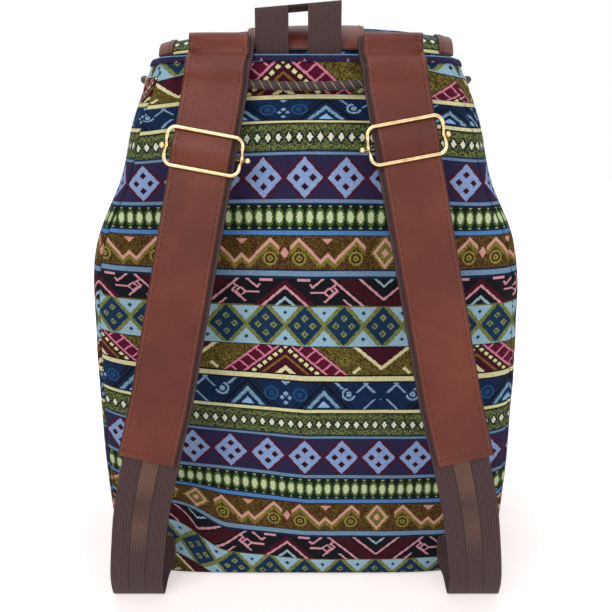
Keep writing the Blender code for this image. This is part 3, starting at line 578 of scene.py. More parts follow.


# Ribbed webbing; stripe is the half width of the stripe down its middle, which is lighter where a sheen is
# painted on it
def webbingMaterial(name, pitch, stripe):
    made, tree, shader = newMaterial(name)
    uv = addNode(tree, "ShaderNodeUVMap", {"uv_map": "cloth"})
    parts = addNode(tree, "ShaderNodeSeparateXYZ", links={"Vector": uv.outputs[0]})
    u = Field(tree, parts.outputs[0]) * 1000
    v = Field(tree, parts.outputs[1]) * 1000
    rib = abs((u * (math.pi / pitch)).math("SINE"))
    pick = abs((v * (math.pi / 0.9) + u * 1.4).math("SINE"))
    spot = addNode(tree, "ShaderNodeTexCoord")
    grain = addNode(tree, "ShaderNodeTexNoise", links={"Vector": spot.outputs["Object"], "Scale": 500.0})
    depth = rib * 0.6 + pick * 0.25 + Field(tree, grain.outputs["Fac"]) * 0.3
    shades = ramp(tree, depth, ((0.1, "1C1112"), (0.55, "402C2D"), (1.0, "5C4444")))
    if stripe:
        broad = addNode(tree, "ShaderNodeTexNoise", links={"Vector": spot.outputs["Object"], "Scale": 38.0})
        place = addNode(tree, "ShaderNodeSeparateXYZ", links={"Vector": spot.outputs["Object"]})
        # a painted sheen lightens the stripe just under the leather's end and again part of the way down
        sheenPatches = ((0.0, 0.0), (0.38, 0.0), (0.60, 0.75), (0.74, 0.15), (0.84, 0.8), (1.0, 0.8))
        sheenByHeight = ramp(tree, Field(tree, place.outputs[2]) / strap["leatherEnd"], sheenPatches)
        paintedSheen = Field(tree, sheenByHeight) * Field(tree, broad.outputs["Fac"])
        middle = abs(u).below(stripe)
        # the stripe's painted sheen, in patches by height, laid over the webbing colour
        shades = mixed(tree, middle * paintedSheen, shades, linear("86654F"))
        shades = mixed(tree, abs(u).near(stripe, 0.5) * 0.7, shades, linear("160C0D"))
    tree.links.new(shades, shader.inputs["Base Color"])
    bump = addNode(tree, "ShaderNodeBump",
                   links={"Height": depth.socket, "Strength": 0.7, "Distance": 0.0004})
    tree.links.new(bump.outputs[0], shader.inputs["Normal"])
    shader.inputs["Roughness"].default_value = 0.62
    shader.inputs["Specular IOR Level"].default_value = 0.25
    return made


def plainMaterial(name, dark, light, scale, roughness, metallic=0.0, bumps=0.2):
    made, tree, shader = newMaterial(name)
    spot = addNode(tree, "ShaderNodeTexCoord")
    grain = addNode(tree, "ShaderNodeTexNoise",
                    links={"Vector": spot.outputs["Object"], "Scale": scale, "Detail": 3.0})
    shades = ramp(tree, grain.outputs["Fac"], ((0.3, dark), (0.7, light)))
    tree.links.new(shades, shader.inputs["Base Color"])
    rough = Field(tree, grain.outputs["Fac"]) * 0.16 + (roughness - 0.08)
    tree.links.new(rough.socket, shader.inputs["Roughness"])
    bump = addNode(tree, "ShaderNodeBump",
                   links={"Height": grain.outputs["Fac"], "Strength": bumps, "Distance": 0.0002})
    tree.links.new(bump.outputs[0], shader.inputs["Normal"])
    shader.inputs["Metallic"].default_value = metallic
    return made


# Twisted cord with a painted highlight along the edge of each strand; the cloth map's u goes once round the
# cord and v is the distance along it
def cordMaterial():
    made, tree, shader = newMaterial("twisted cord yarn")
    uv = addNode(tree, "ShaderNodeUVMap", {"uv_map": "cloth"})
    parts = addNode(tree, "ShaderNodeSeparateXYZ", links={"Vector": uv.outputs[0]})
    turn = Field(tree, parts.outputs[0]) * cord["strands"] - Field(tree, parts.outputs[1]) / cord["pitch"]
    strand = turn.math("FRACT")
    yarns = abs((turn * (math.pi * 6)).math("SINE"))
    shades = ramp(tree, yarns, ((0.0, "0E0908"), (1.0, "2C1D18")))
    # a thin tan line where the strands meet: a painted highlight between the strands
    line = strand.below(0.085)
    shades = mixed(tree, line, shades, linear("C09A72"))
    tree.links.new(shades, shader.inputs["Base Color"])
    bump = addNode(tree, "ShaderNodeBump",
                   links={"Height": yarns.socket, "Strength": 0.6, "Distance": 0.0003})
    tree.links.new(bump.outputs[0], shader.inputs["Normal"])
    shader.inputs["Roughness"].default_value = 0.5
    shader.inputs["Sheen Weight"].default_value = 0.15
    return made


# A sheet laid out by a grid: place gives the point and the cloth coordinates at (across, up) from 0 to 1
def gridPiece(name, columns, rows, place, finish, replaced=(), body="bag", thickness=0.0, offset=0.0,
              bevel=0.0, lining=None, holes=()):
    form = bmesh.new()
    bmesh.ops.create_grid(form, x_segments=columns, y_segments=rows, size=1.0)
    layer = form.loops.layers.uv.new("cloth")
    spots = {}
    for vert in form.verts:
        across, up = (vert.co.x + 1) / 2, (vert.co.y + 1) / 2
        vert.co, spots[vert] = place(across, up)
    for face in form.faces:
        for loop in face.loops:
            loop[layer].uv = spots[loop.vert]
    for centre, radius in holes:
        gone = [face for face in form.faces if (face.calc_center_median() - centre).length < radius]
        bmesh.ops.delete(form, geom=gone, context="FACES")
    mesh = bpy.data.meshes.new(name)
    form.to_mesh(mesh)
    form.free()
    mesh.shade_smooth()
    mesh.materials.append(finish)
    if lining:
        mesh.materials.append(lining)
    made = bpy.data.objects.new(name, mesh)
    bpy.context.scene.collection.objects.link(made)
    if thickness:
        solid = made.modifiers.new("thickness", "SOLIDIFY")
        solid.thickness = thickness
        solid.offset = offset
        solid.material_offset = 1 if lining else 0
    if bevel:
        rounded = made.modifiers.new("rounded edges", "BEVEL")
        rounded.width = bevel
        rounded.segments = 2
        rounded.limit_method = "ANGLE"
        rounded.angle_limit = math.radians(50)
    return settled(made, replaced, body)


def settled(made, replaced=(), body="bag"):
    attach(made, body)
    if replaced:
        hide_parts(*replaced)
    return made


# A profile of (radius, height) points spun about an axis through a place
def turnedPiece(name, profile, axis, place, finish, replaced=(), body="bag", steps=48):
    form = bmesh.new()
    points = [form.verts.new((r, 0, h)) for r, h in profile]
    edges = [form.edges.new(pair) for pair in zip(points, points[1:] + points[:1])]
    bmesh.ops.spin(form, geom=points + edges, cent=(0, 0, 0), axis=(0, 0, 1), angle=math.tau, steps=steps)
    bmesh.ops.remove_doubles(form, verts=form.verts, dist=0.00001)
    bmesh.ops.recalc_face_normals(form, faces=form.faces)
    turn = Vector(axis).to_track_quat("Z", "Y")
    for vert in form.verts:
        vert.co = turn @ vert.co + Vector(place)
    mesh = bpy.data.meshes.new(name)
    form.to_mesh(mesh)
    form.free()
    mesh.shade_smooth()
    mesh.materials.append(finish)
    made = bpy.data.objects.new(name, mesh)
    bpy.context.scene.collection.objects.link(made)
    return settled(made, replaced, body)


def tubePiece(name, points, radius, finish, replaced=(), body="bag", closed=False):
    curve = bpy.data.curves.new(name, "CURVE")
    curve.dimensions = "3D"
    curve.bevel_depth = radius
    curve.bevel_resolution = 6
    curve.use_fill_caps = not closed
    spline = curve.splines.new("POLY")
    spline.points.add(len(points) - 1)
    for point, spot in zip(spline.points, points):
        point.co = (*spot, 1)
    spline.use_cyclic_u = closed
    spline.use_smooth = True
    curve.materials.append(finish)
    made = bpy.data.objects.new(name, curve)
    bpy.context.scene.collection.objects.link(made)
    return settled(made, replaced, body)


# Stitches of thread along a seam: one small bead for each (middle, direction, outward)
def stitchPiece(name, stitches, length, thickness, finish, body="bag"):
    form = bmesh.new()
    for middle, along, outward in stitches:
        added = bmesh.ops.create_icosphere(form, subdivisions=1, radius=0.5)["verts"]
        across = along.cross(outward).normalized()
        for vert in added:
            x, y, z = vert.co
            vert.co = middle + along * x * length + across * y * thickness + outward * z * thickness
    mesh = bpy.data.meshes.new(name)
    form.to_mesh(mesh)
    form.free()
    mesh.shade_smooth()
    mesh.materials.append(finish)
    made = bpy.data.objects.new(name, mesh)
    bpy.context.scene.collection.objects.link(made)
    return settled(made, (), body)


# The cloth map's height: the tuck under the cord takes up cloth, and the left half of the back hangs lower
tuckKeys = ((0.349, 0.0), (0.3508, 0.0019), (0.3636, 0.0099), (0.3668, 0.0125), (0.392, 0.0125))
sagKeys = ((0.0, 0.13), (0.070, 0.13), (0.168, 0.085), (0.194, 0.06), (0.250, 0.02), (0.300, 0.0),
           (0.365, -0.035))


# The cloth is drawn up at the lower left corner of the back
corner = {"rise": 0.022, "from": 0.060, "over": 0.046, "top": 0.095, "depth": 0.045}


def clothHeight(x, z, back):
    lift = through(sagKeys, z) * max(-x, 0.0) if back else 0.0
    if back:
        aside = smooth((-x - corner["from"]) / corner["over"])
        lift += corner["rise"] * aside * smooth((corner["top"] - z) / corner["depth"])
    return z + through(tuckKeys, z) - lift


def wrinkled(angle, z, fromSeam):
    point = outline(angle, z)
    broad = noise.noise(point * 16) * bag["wrinkle"] + noise.noise(point * 42) * bag["wrinkle"] * 0.35
    high = smooth((z - 0.325) / 0.05)
    pucker = noise.noise(Vector((angle * 26, z * 14, 3.1))) * bag["pucker"] * high
    low = smooth((0.055 - z) / 0.05) * noise.noise(Vector((angle * 20, z * 30, 7.7))) * bag["pucker"]
    dip = bag["seamDip"] * math.exp(-((fromSeam / 0.0014) ** 2))
    edge = smooth((bag["hemHeight"] - hem["band"] - 0.001 - z) / 0.012) * smooth((z - 0.001) / 0.02)
    near = 1.0
    for station in eyeletAngles:
        centre = outline(math.copysign(station, math.sin(angle)), eyeletHeight)
        near = min(near, smooth(((point - centre).length - eyelet["radius"]) / 0.006))
    return ((broad + pucker + low) * near - dip) * edge


def wallPiece(name, start, end, columns, rows, replaced, canvas, lining, back):
    low, high = bag["canvas"] + bag["gap"], bag["hemHeight"] - hem["tape"] - bag["gap"]
    count = 64
    around = [0.0]
    for i in range(count):
        a, b = (start + (end - start) * k / count for k in (i, i + 1))
        around.append(around[-1] + (outline(b, bag["bellyHeight"]) - outline(a, bag["bellyHeight"])).length)
    climbs = {}

    def climb(angle, z):
        key = round(angle, 6)
        if key not in climbs:
            heights = spaced(low, high, 60)
            total, table = 0.0, []
            for a, b in zip(heights, heights[1:]):
                table.append((a, total))
                total += (outline(angle, b) - outline(angle, a)).length
            table.append((high, total))
            base = min(table, key=lambda pair: abs(pair[0] - bag["bellyHeight"]))
            climbs[key] = [(h, bag["bellyHeight"] + t - base[1] - h + (base[0] - bag["bellyHeight"]))
                           for h, t in table]
        table = climbs[key]
        i = min(int((z - low) / (high - low) * 59), 58)
        (a, x), (b, y) = table[i], table[i + 1]
        return x + (y - x) * (z - a) / (b - a)

    def place(across, up):
        angle = start + (end - start) * across
        z = low + (high - low) * up
        fromSeam = min(across, 1 - across) * around[-1]
        spot = outline(angle, z)
        point = bagPoint(angle, z, wrinkled(angle, z, fromSeam))
        if back:
            u = spot.x
        else:
            k = across * count
            i = min(int(k), count - 1)
            u = around[i] + (around[i + 1] - around[i]) * (k - i) - around[-1] / 2
        return point, (u, clothHeight(spot.x, z, back) + climb(angle, z))

    stations = [sign * angle for angle in eyeletAngles for sign in (-1, 1)]
    holes = [(outline(angle, eyeletHeight), 0.0070) for angle in stations]
    return gridPiece(name, columns, rows, place, canvas, replaced,
                     thickness=bag["canvas"], offset=-1.0, lining=lining, holes=holes)


def addBag(canvas, lining, thread):
    seam = math.radians(bag["seamDegrees"])
    gap = math.radians(0.12)
    wallPiece("cloth_back", -seam + gap, seam - gap, 132, 168, ("back_panel",), canvas, lining, True)
    wallPiece("cloth_front", seam + gap, math.tau - seam - gap, 236, 150, ("front_panel",), canvas, lining,
              False)
    stitches = []
    for sign in (-1, 1):
        for z in spaced(0.012, 0.380, 92):
            angle = sign * (seam - math.radians(0.55))
            up = wallAxes(angle, z)[1]
            stitches.append((bagPoint(angle, z, 0.0001), up, outwardAt(angle, z)))
    stitchPiece("seam_thread", stitches, 0.0022, 0.0005, thread)


def addHem(canvas):
    outer, inner = hem["clear"] + hem["tape"] / 2, -(bag["canvas"] * 1.1 + hem["clear"] + hem["tape"] / 2)
    low, top = bag["hemHeight"] - hem["band"], bag["hemHeight"] - hem["tape"] / 2
    profile = [(low, outer * 0.7), (low + 0.0006, outer), (top - 0.0012, outer), (top, outer - 0.0006),
               (top, inner + 0.0006), (top - 0.0012, inner), (low, inner)]

    def place(across, up):
        angle = math.tau * across
        at = up * (len(profile) - 1)
        i = min(int(at), len(profile) - 2)
        (z0, o0), (z1, o1) = profile[i], profile[i + 1]
        z, out = z0 + (z1 - z0) * (at - i), o0 + (o1 - o0) * (at - i)
        ruck = noise.noise(Vector((across * 90, 2.0, 1.0))) * 0.0002
        v = (weave["start"] + 132.2) / 1000 + at * 0.0013
        return bagPoint(angle, z, out + ruck), (outline(angle, z).x, v)

    gridPiece("cloth_hem", 260, 6, place, canvas, ("hem",), thickness=hem["tape"] * 0.8)


def addEyelets(gilt):
    flange = bag["canvas"] / 2 + eyelet["flange"]
    bore, tube, lip, outer = eyelet["bore"], eyelet["bore"] + eyelet["wall"], eyelet["lip"], eyelet["radius"]
    rim = [(tube, flange), (tube, -flange), (outer - 0.0008, -flange), (outer - 0.001, -flange - lip),
           (bore, -flange - lip)]
    rounded = [(bore + (outer - bore) * (1 - math.cos(t)) / 2, flange + lip * math.sin(t))
               for t in spaced(0.0, math.pi, 9)]
    profile = [(bore, flange)] + rounded[1:] + rim
    names = ("back", "side", "front_outer", "front_inner")
    for sign, side in ((-1, "left"), (1, "right")):
        for name, angle in zip(names, eyeletAngles):
            outward = wallAxes(sign * angle, eyeletHeight)[2]
            centre = outline(sign * angle, eyeletHeight) - outward * bag["canvas"] / 2
            turnedPiece(f"ring_{name}_{side}", profile, outward, centre, gilt,
                        (f"eyelet_{name}_{side}",))


def eyeletCrossing(angle, inwards):
    along, _, out = wallAxes(angle, eyeletHeight)
    middle = outline(angle, eyeletHeight) - out * bag["canvas"] / 2
    lip = bag["canvas"] / 2 + eyelet["flange"] + eyelet["lip"] + cord["diameter"] / 2 + 1.3 * bag["gap"]
    way = [(-0.0078, lip), (-0.0035, lip), (-0.0008, lip * 0.62), (0, 0)]
    way += [(-a, -h) for a, h in reversed(way[:-1])]
    sign = 1 if inwards else -1
    return [middle + along * a + out * h * sign for a, h in way]


def eyeletExit(angle):
    _, up, out = wallAxes(angle, eyeletHeight)
    middle = outline(angle, eyeletHeight) - out * bag["canvas"] / 2
    lip = bag["canvas"] / 2 + eyelet["flange"] + eyelet["lip"] + cord["diameter"] / 2 + 1.3 * bag["gap"]
    return [middle - up * fall + out * h for fall, h in ((0.0008, lip * 0.62), (0.0035, lip), (0.0080, lip))]


def cordPoints():
    clear = cord["diameter"] / 2 + bag["gap"] + 0.0014
    half = []
    for x in (0.0, 0.024, 0.046):
        sag = cord["sag"] * (1 - (x / eyelet["backX"]) ** 2)
        half.append(bagPoint(angleAt(x, eyeletHeight), eyeletHeight - sag, clear))
    back, side, outer, inner = eyeletAngles
    inside = -(bag["canvas"] + clear)

    def between(a, b, out):
        return [bagPoint(a + (b - a) * t, eyeletHeight, out) for t in (0.36, 0.64)]

    half += eyeletCrossing(back, True) + between(back, side, inside)
    half += eyeletCrossing(side, False) + between(side, outer, clear)
    half += eyeletCrossing(outer, True)
    half += [bagPoint((outer + inner) / 2, eyeletHeight, inside)]
    half += eyeletCrossing(inner, False)[:4] + eyeletExit(inner)
    for drop, share in ((0.020, 0.92), (0.040, 0.82), (0.068, 0.72), (cord["tail"], 0.62)):
        x, z = eyelet["frontX"][0] * share, eyeletHeight - drop
        half.append(Vector((x, sideY(x, z, cord["diameter"] / 2 + 0.0008, True), z)))
    mirrored = [Vector((-p.x, p.y, p.z)) for p in half[1:]]
    return list(reversed(mirrored)) + half


# A cord of twisted strands swept along its route
def addCord(yarn):
    path, length = resampled(catmull(cordPoints(), 6), 0.0012)
    sides = 20
    radius = cord["diameter"] / 2
    across = []
    last = Vector((0, 0, 1))
    for i in range(len(path)):
        tangent = (path[min(i + 1, len(path) - 1)] - path[max(i - 1, 0)]).normalized()
        last = (last - tangent * last.dot(tangent)).normalized()
        across.append((last.copy(), tangent.cross(last)))

    def place(around, along):
        i = round(along * (len(path) - 1))
        first, second = across[i]
        turn = math.tau * around
        run = along * length
        lobe = abs(math.cos(cord["strands"] / 2 * turn - math.pi * run / cord["pitch"]))
        reach = radius * (0.78 + 0.22 * lobe ** 0.5)
        return path[i] + (first * math.cos(turn) + second * math.sin(turn)) * reach, (around, run)

    gridPiece("twisted_cord", sides, len(path) - 1, place, yarn, ("drawstring",))
    for side in ("left", "right"):
        addKnot(side, yarn)
    return length


# An overhand knot: two turns of the cord round its own end
def addKnot(side, yarn):
    radius = cord["knot"] / 2
    low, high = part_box(f"knot_{side}")
    middle = Vector([(a + b) / 2 for a, b in zip(low, high)])
    wound = []
    thick = cord["diameter"] * 0.38
    for i in range(73):
        t = math.tau * 2 * i / 72
        swell = radius - thick
        wound.append(middle + Vector((
            swell * math.sin(t), swell * math.cos(t) * (0.8 + 0.2 * math.cos(t / 2)),
            radius * 0.62 * math.cos(t * 1.5 + 0.6))))

    def place(around, run):
        i = run * (len(wound) - 1)
        k = min(int(i), len(wound) - 2)
        spot = wound[k].lerp(wound[k + 1], i - k)
        tangent = (wound[k + 1] - wound[k]).normalized()
        first = (Vector((0.3, 0.2, 1)) - tangent * Vector((0.3, 0.2, 1)).dot(tangent)).normalized()
        second = tangent.cross(first)
        turn = math.tau * around
        length = run * 0.075
        lobe = abs(math.cos(turn + math.pi * length / cord["pitch"]))
        reach = thick * (0.8 + 0.2 * lobe ** 0.5) * min(1.0, 0.3 + 12 * run, 0.3 + 12 * (1 - run))
        return spot + (first * math.cos(turn) + second * math.sin(turn)) * reach, (around, length)

    gridPiece(f"cord_knot_{side}", 14, 110, place, yarn, (f"knot_{side}",))


# The flap's own coordinates are x and a run from 0 at its seam to 1 at its free end
handleInset = bag["canvas"] * 1.1 + hem["clear"] + hem["tape"] + bag["gap"] + handle["webbing"] / 2
flapInset = handleInset + handle["webbing"] / 2 + 3 * bag["gap"] + flap["canvas"] / 2
flapStart = bag["hemHeight"] - hem["band"] - 0.002
flapFrontTop = bag["hemHeight"] - 0.004
fallLength = (flapFrontTop - flap["endHeight"]) / (1 - flap["archRun"])
cornerRun = 1 - flap["corner"] / fallLength


def flapMiddle(x, run):
    share = x / (flap["width"] / 2)
    middle = sideY(0, bag["hemHeight"], -flapInset, False)
    edgeX = flap["baseWidth"] / 2
    edge = sideY(edgeX, bag["hemHeight"], -flapInset, False)
    backY = middle + (edge - middle) * (abs(x) / edgeX) ** 4
    archFoot = bag["hemHeight"] + 0.001
    frontY = sideY(x, flapFrontTop, flap["standoff"], True)
    if run <= flap["seamRun"]:
        return Vector((x, backY, flapStart + (archFoot - flapStart) * run / flap["seamRun"]))
    if run <= flap["archRun"]:
        t = (run - flap["seamRun"]) / (flap["archRun"] - flap["seamRun"])
        rise = flap["rise"] - flap["sideDrop"] * share**2 + flap["lean"] * share
        y = ((1 - t) ** 3 * backY + 3 * (1 - t) ** 2 * t * (backY + 0.004)
             + 3 * (1 - t) * t**2 * (frontY - 0.002) + t**3 * frontY)
        z = ((1 - t) ** 3 * archFoot + 3 * (1 - t) ** 2 * t * (archFoot + rise)
             + 3 * (1 - t) * t**2 * (flapFrontTop + rise) + t**3 * flapFrontTop)
        return Vector((x, y, z))
    z = flapFrontTop + (flap["endHeight"] - flapFrontTop) * (run - flap["archRun"]) / (1 - flap["archRun"])
    return Vector((x, sideY(x, z, flap["standoff"], True), z))


def flapPoint(x, run, out=0.0):
    along = flapMiddle(x, run + 0.004) - flapMiddle(x, run - 0.004)
    across = flapMiddle(x + 0.001, run) - flapMiddle(x - 0.001, run)
    return flapMiddle(x, run) + across.cross(along).normalized() * out


def flapHalfWidth(run):
    wide = flap["width"] / 2
    if run > cornerRun:
        depth = (run - cornerRun) * fallLength
        return wide - flap["corner"] + math.sqrt(max(flap["corner"] ** 2 - depth**2, 0.0))
    return flap["baseWidth"] / 2 + (wide - flap["baseWidth"] / 2) * smooth(run / (flap["archRun"] * 0.8))


# Runs down the flap, closer together round the corners, and the cloth used up to each
flapRuns = spaced(0.0, cornerRun, 70) + [cornerRun + (0.9995 - cornerRun) * math.sin(math.pi / 2 * i / 24)
                                         for i in range(1, 25)]
flapClimb = [0.0]
for runA, runB in zip(flapRuns, flapRuns[1:]):
    flapClimb.append(flapClimb[-1] + (flapMiddle(0, runB) - flapMiddle(0, runA)).length)


def addFlap(canvas, lining, leather, edgeLeather, thread):
    last = len(flapRuns) - 1

    def place(across, down):
        i = round(down * last)
        run, half = flapRuns[i], flapHalfWidth(flapRuns[i])
        x = half * (2 * across - 1)
        soft = noise.noise(Vector((x * 30, run * 3.5, 5.0))) * 0.0006 * smooth(run / 0.2)
        return flapPoint(x, run, soft), (x, (weave["start"] + 168.5) / 1000 - flapClimb[i])

    gridPiece("flap_cloth", 90, last, place, canvas, ("flap",),
              thickness=flap["canvas"], lining=lining)

    # The centre strip
    lift = flap["canvas"] / 2 + 2 * bag["gap"] + flap["centreLeather"] / 2
    endRun = 1 - (flap["binding"] + 0.002) / fallLength
    firstRun = flap["seamRun"] + 0.01

    def centre(across, down):
        run = firstRun + (endRun - firstRun) * down
        x = flap["centreWidth"] * (across - 0.5)
        return flapPoint(x, run, lift), (x, down * (endRun - firstRun) * fallLength)

    gridPiece("flap_strip", 24, 90, centre, leather, ("flap_centre_leather",),
              thickness=flap["centreLeather"], bevel=0.0003)

    # The binding, round both faces of the edge, from the hem down one side and back up the other
    side = [(run, 0.0) for run in flapRuns if flap["seamRun"] < run <= cornerRun]
    turns = [(cornerRun, math.pi / 2 * i / 14) for i in range(1, 15)]
    inner, outer = [], []
    for run, _ in side:
        inner.append((flapHalfWidth(run) - flap["binding"], run))
        outer.append((flapHalfWidth(run) + lift, run))
    for _, turn in turns:
        for found, radius in ((inner, flap["corner"] - flap["binding"]), (outer, flap["corner"] + lift)):
            x = flap["width"] / 2 - flap["corner"] + radius * math.cos(turn)
            found.append((x, cornerRun + radius * math.sin(turn) / fallLength))
    ends = (inner[-1][1], outer[-1][1])
    straight = flap["width"] / 2 - flap["corner"]
    for share in spaced(1.0, 0.0, 18)[1:]:
        inner.append((straight * share, ends[0]))
        outer.append((straight * share, ends[1]))
    pairs = list(zip(inner, outer))
    loop = [(1, a, b) for a, b in pairs] + [(-1, a, b) for a, b in reversed(pairs[:-1])]
    edge = flap["canvas"] / 2 + 2 * bag["gap"] + flap["bindingLeather"] / 2

    def bound(across, along):
        sign, (inX, inRun), (outX, outRun) = loop[round(along * (len(loop) - 1))]
        # across goes over the outer face, round the edge and back over the inner face
        turn = min(max((across - 0.42) / 0.16, 0.0), 1.0)
        out = edge * math.cos(math.pi * turn)
        reach = across / 0.42 if across < 0.42 else (1 - across) / 0.42 if across > 0.58 else 1.0
        x, run = inX + (outX - inX) * reach, inRun + (outRun - inRun) * reach
        return flapPoint(sign * x, run, out), ((reach - 0.5) * flap["binding"], along * 0.6)

    gridPiece("flap_edge", 20, len(loop) - 1, bound, edgeLeather, ("flap_binding",),
              thickness=flap["bindingLeather"])

    stitches = []
    for sign in (-1, 1):
        for run in spaced(firstRun + 0.01, endRun - 0.01, 64):
            x = sign * (flap["centreWidth"] / 2 - 0.0026)
            here, there = flapPoint(x, run, lift), flapPoint(x, run + 0.01, lift)
            top = flapPoint(x, run, lift + flap["centreLeather"] / 2 + 0.0001)
            stitches.append((top, (there - here).normalized(), (top - here).normalized()))
    for sign, (inX, inRun), (outX, outRun) in loop[::2]:
        x, run = inX + 0.0022 * (outX - inX) / flap["binding"], inRun + (outRun - inRun) * 0.18
        here, there = flapPoint(sign * x, run, edge), flapPoint(sign * x, run + 0.01, edge)
        if run > cornerRun and x < straight:
            there = flapPoint(sign * x + 0.002, run, edge)
        top = flapPoint(sign * x, run, edge + flap["bindingLeather"] / 2 + 0.0001)
        stitches.append((top, (there - here).normalized(), (top - here).normalized()))
    stitchPiece("flap_thread", stitches, strap["stitch"], strap["thread"], thread)


# The loop's legs stand flat, fold back at the top and turn edge on into the crossbar
def addHandle(webbing):
    left, right = handle["centre"] - handle["spread"] / 2, handle["centre"] + handle["spread"] / 2
    half, fold = handle["width"] / 2, handle["fold"]
    seated = sideY(half - left, bag["hemHeight"], -handleInset, False)
    free = seated - handle["standsOff"]
    foot = bag["hemHeight"] - hem["band"] - 0.001

    def topAt(x):
        share = (x - left + half) / (right - left + 2 * half)
        return handle["leftTop"] + (handle["rightTop"] - handle["leftTop"]) * share

    # Each row is the strip's inner end and its outer end; way is -1 for the left leg
    def leg(middle, way):
        ends = (middle - way * half, middle + way * half)
        rows = []
        for y, z in ((seated, foot), (seated, bag["hemHeight"]), (free, bag["hemHeight"] + 0.008)):
            rows.append([Vector((x, y, z)) for x in ends])
        rows.append([Vector((x, free, topAt(x) - 2 * fold)) for x in ends])
        for turn in spaced(0.0, math.pi / 2, 5):
            back, dip = fold * (1 - math.cos(turn)), fold * (1 - math.sin(turn))
            rows.append([Vector((x, free + back, topAt(x) - dip)) for x in ends])
        pivot = rows[-1][0]
        for turn in spaced(0.0, math.pi / 2, 9)[1:]:
            x = pivot.x + way * handle["width"] * math.cos(turn)
            y = pivot.y + handle["width"] * math.sin(turn)
            rows.append([pivot, Vector((x, y, topAt(x)))])
        return rows

    rows = leg(left, -1) + list(reversed(leg(right, 1)))
    lengths = [0.0]
    for (a, b), (c, d) in zip(rows, rows[1:]):
        lengths.append(lengths[-1] + ((a + b) / 2 - (c + d) / 2).length)

    def place(across, along):
        i = round(along * (len(rows) - 1))
        inner, outer = rows[i]
        return inner.lerp(outer, across), (handle["width"] * (across - 0.5), lengths[i])

    gridPiece("haul_loop", 16, len(rows) - 1, place, webbing, ("handle",),
              thickness=handle["webbing"], bevel=0.0003)


def strapPath(sign):
    bend = 0.0024
    foldX = strap["top"][0] - 0.0035
    innerX = foldX - strap["width"] / 2 - strap["backing"] / 2
    proud = hem["clear"] + hem["tape"] + bag["gap"] + strap["webbing"] / 2
    face = sideY(innerX, bag["hemHeight"], proud, False)
    foldZ = strap["foldHeight"] - strap["leather"] - bend
    points = [(foldX, face + 2 * bend, bag["hemHeight"] + 0.003)]
    for i in range(7):
        turn = math.pi * i / 6
        points.append((foldX, face + bend * (1 + math.cos(turn)), foldZ + bend * math.sin(turn)))
    points += [(foldX + 0.0005, face - 0.0006, bag["hemHeight"] - 0.001),
               (foldX + 0.002, strap["top"][1] + 0.0010, eyeletHeight + cord["diameter"] / 2 + 0.0027)]
    upper = catmull([Vector(p) for p in points] + [Vector(strap["top"])], 2)
    top, foot = Vector(strap["top"]), Vector(strap["foot"])
    run = [top.lerp(foot, i / 10) for i in range(1, 10)]
    floor = strap["webbing"] / 2 + 0.0002
    endX = 0.124
    wall = -(bag["gap"] + strap["webbing"] / 2)
    lower = [
        top.lerp(foot, 0.93), foot, (0.1075, -0.1235, 0.122), (0.1155, -0.1210, 0.088),
        (0.1215, -0.1150, 0.055), (0.1265, -0.1070, 0.026), (0.1285, -0.0990, 0.0075),
        (0.1290, -0.0920, floor), (0.1288, -0.0850, 0.0035), (0.1275, -0.0790, 0.0105), (endX, sideY(0, 0.020, 0, False) + wall, 0.021),
        (endX, sideY(0, 0.034, 0, False) + wall, 0.036),
    ]
    lower = catmull(lower, 4)[4:]
    return [Vector((sign * p.x, p.y, p.z)) for p in upper + run + lower]


def strapFrames(path):
    found = []
    for i, here in enumerate(path):
        tangent = (path[min(i + 1, len(path) - 1)] - path[max(i - 1, 0)]).normalized()
        width = (Vector((1, 0, 0)) - tangent.x * tangent).normalized()
        found.append((here, tangent, width, tangent.cross(width)))
    return found


# A flat strip along a strap's route; shift is sideways and lift is towards the face
def strapPiece(name, path, width, shift, lift, thickness, finish, replaced, body="bag", crown=0.0):
    route = strapFrames(path)
    lengths = [0.0]
    for a, b in zip(path, path[1:]):
        lengths.append(lengths[-1] + (b - a).length)

    def place(across, along):
        i = round(along * (len(route) - 1))
        here, _, side, face = route[i]
        aside = width * (across - 0.5)
        dome = crown * (1 - (2 * across - 1) ** 4)
        return here + side * (shift + aside) + face * (lift + dome), (aside, lengths[i])

    return gridPiece(name, 20, len(route) - 1, place, finish, replaced, body, thickness, 0.0,
                     bevel=0.00045)


def finer(path, steps=3):
    return catmull(path, steps)


def addStrap(sign, side, webbing, leather, thread):
    path = strapPath(sign)
    strapPiece(f"webbing_{side}", finer(path), strap["width"], -sign * strap["backing"] / 2, 0.0,
               strap["webbing"], webbing, (f"strap_{side}_webbing",))
    crest = max(range(len(path)), key=lambda i: path[i].z)
    faced = path[crest:]
    last = next(i for i, p in enumerate(faced) if p.z <= strap["leatherEnd"])
    above, below = faced[last - 1], faced[last]
    faced = faced[:last] + [above.lerp(below, (above.z - strap["leatherEnd"]) / (above.z - below.z))]
    lift = strap["webbing"] / 2 + strap["leatherGap"] + strap["leather"] / 2
    shift = sign * strap["backing"] / 2
    fine = finer(faced)
    strapPiece(f"leather_{side}", fine, strap["width"], shift, lift, strap["leather"], leather,
               (f"strap_{side}_leather",), crown=0.0002)
    even = resampled(fine, strap["stitchPitch"])[0]
    route = strapFrames(even)
    surface = lift + strap["leather"] / 2 + 0.00022
    reach = strap["width"] / 2 - strap["stitchInset"]
    stitches = []
    for here, tangent, across, face in route[2:-1]:
        for way in (-1, 1):
            stitches.append((here + across * (shift + way * reach) + face * surface, tangent, face))
    here, tangent, across, face = route[-2]
    for i in range(9):
        aside = (i - 4) * strap["stitchPitch"] * 0.92
        stitches.append((here + across * (shift + aside) + face * surface, across, face))
    stitchPiece(f"strap_thread_{side}", stitches, strap["stitch"], strap["thread"], thread)


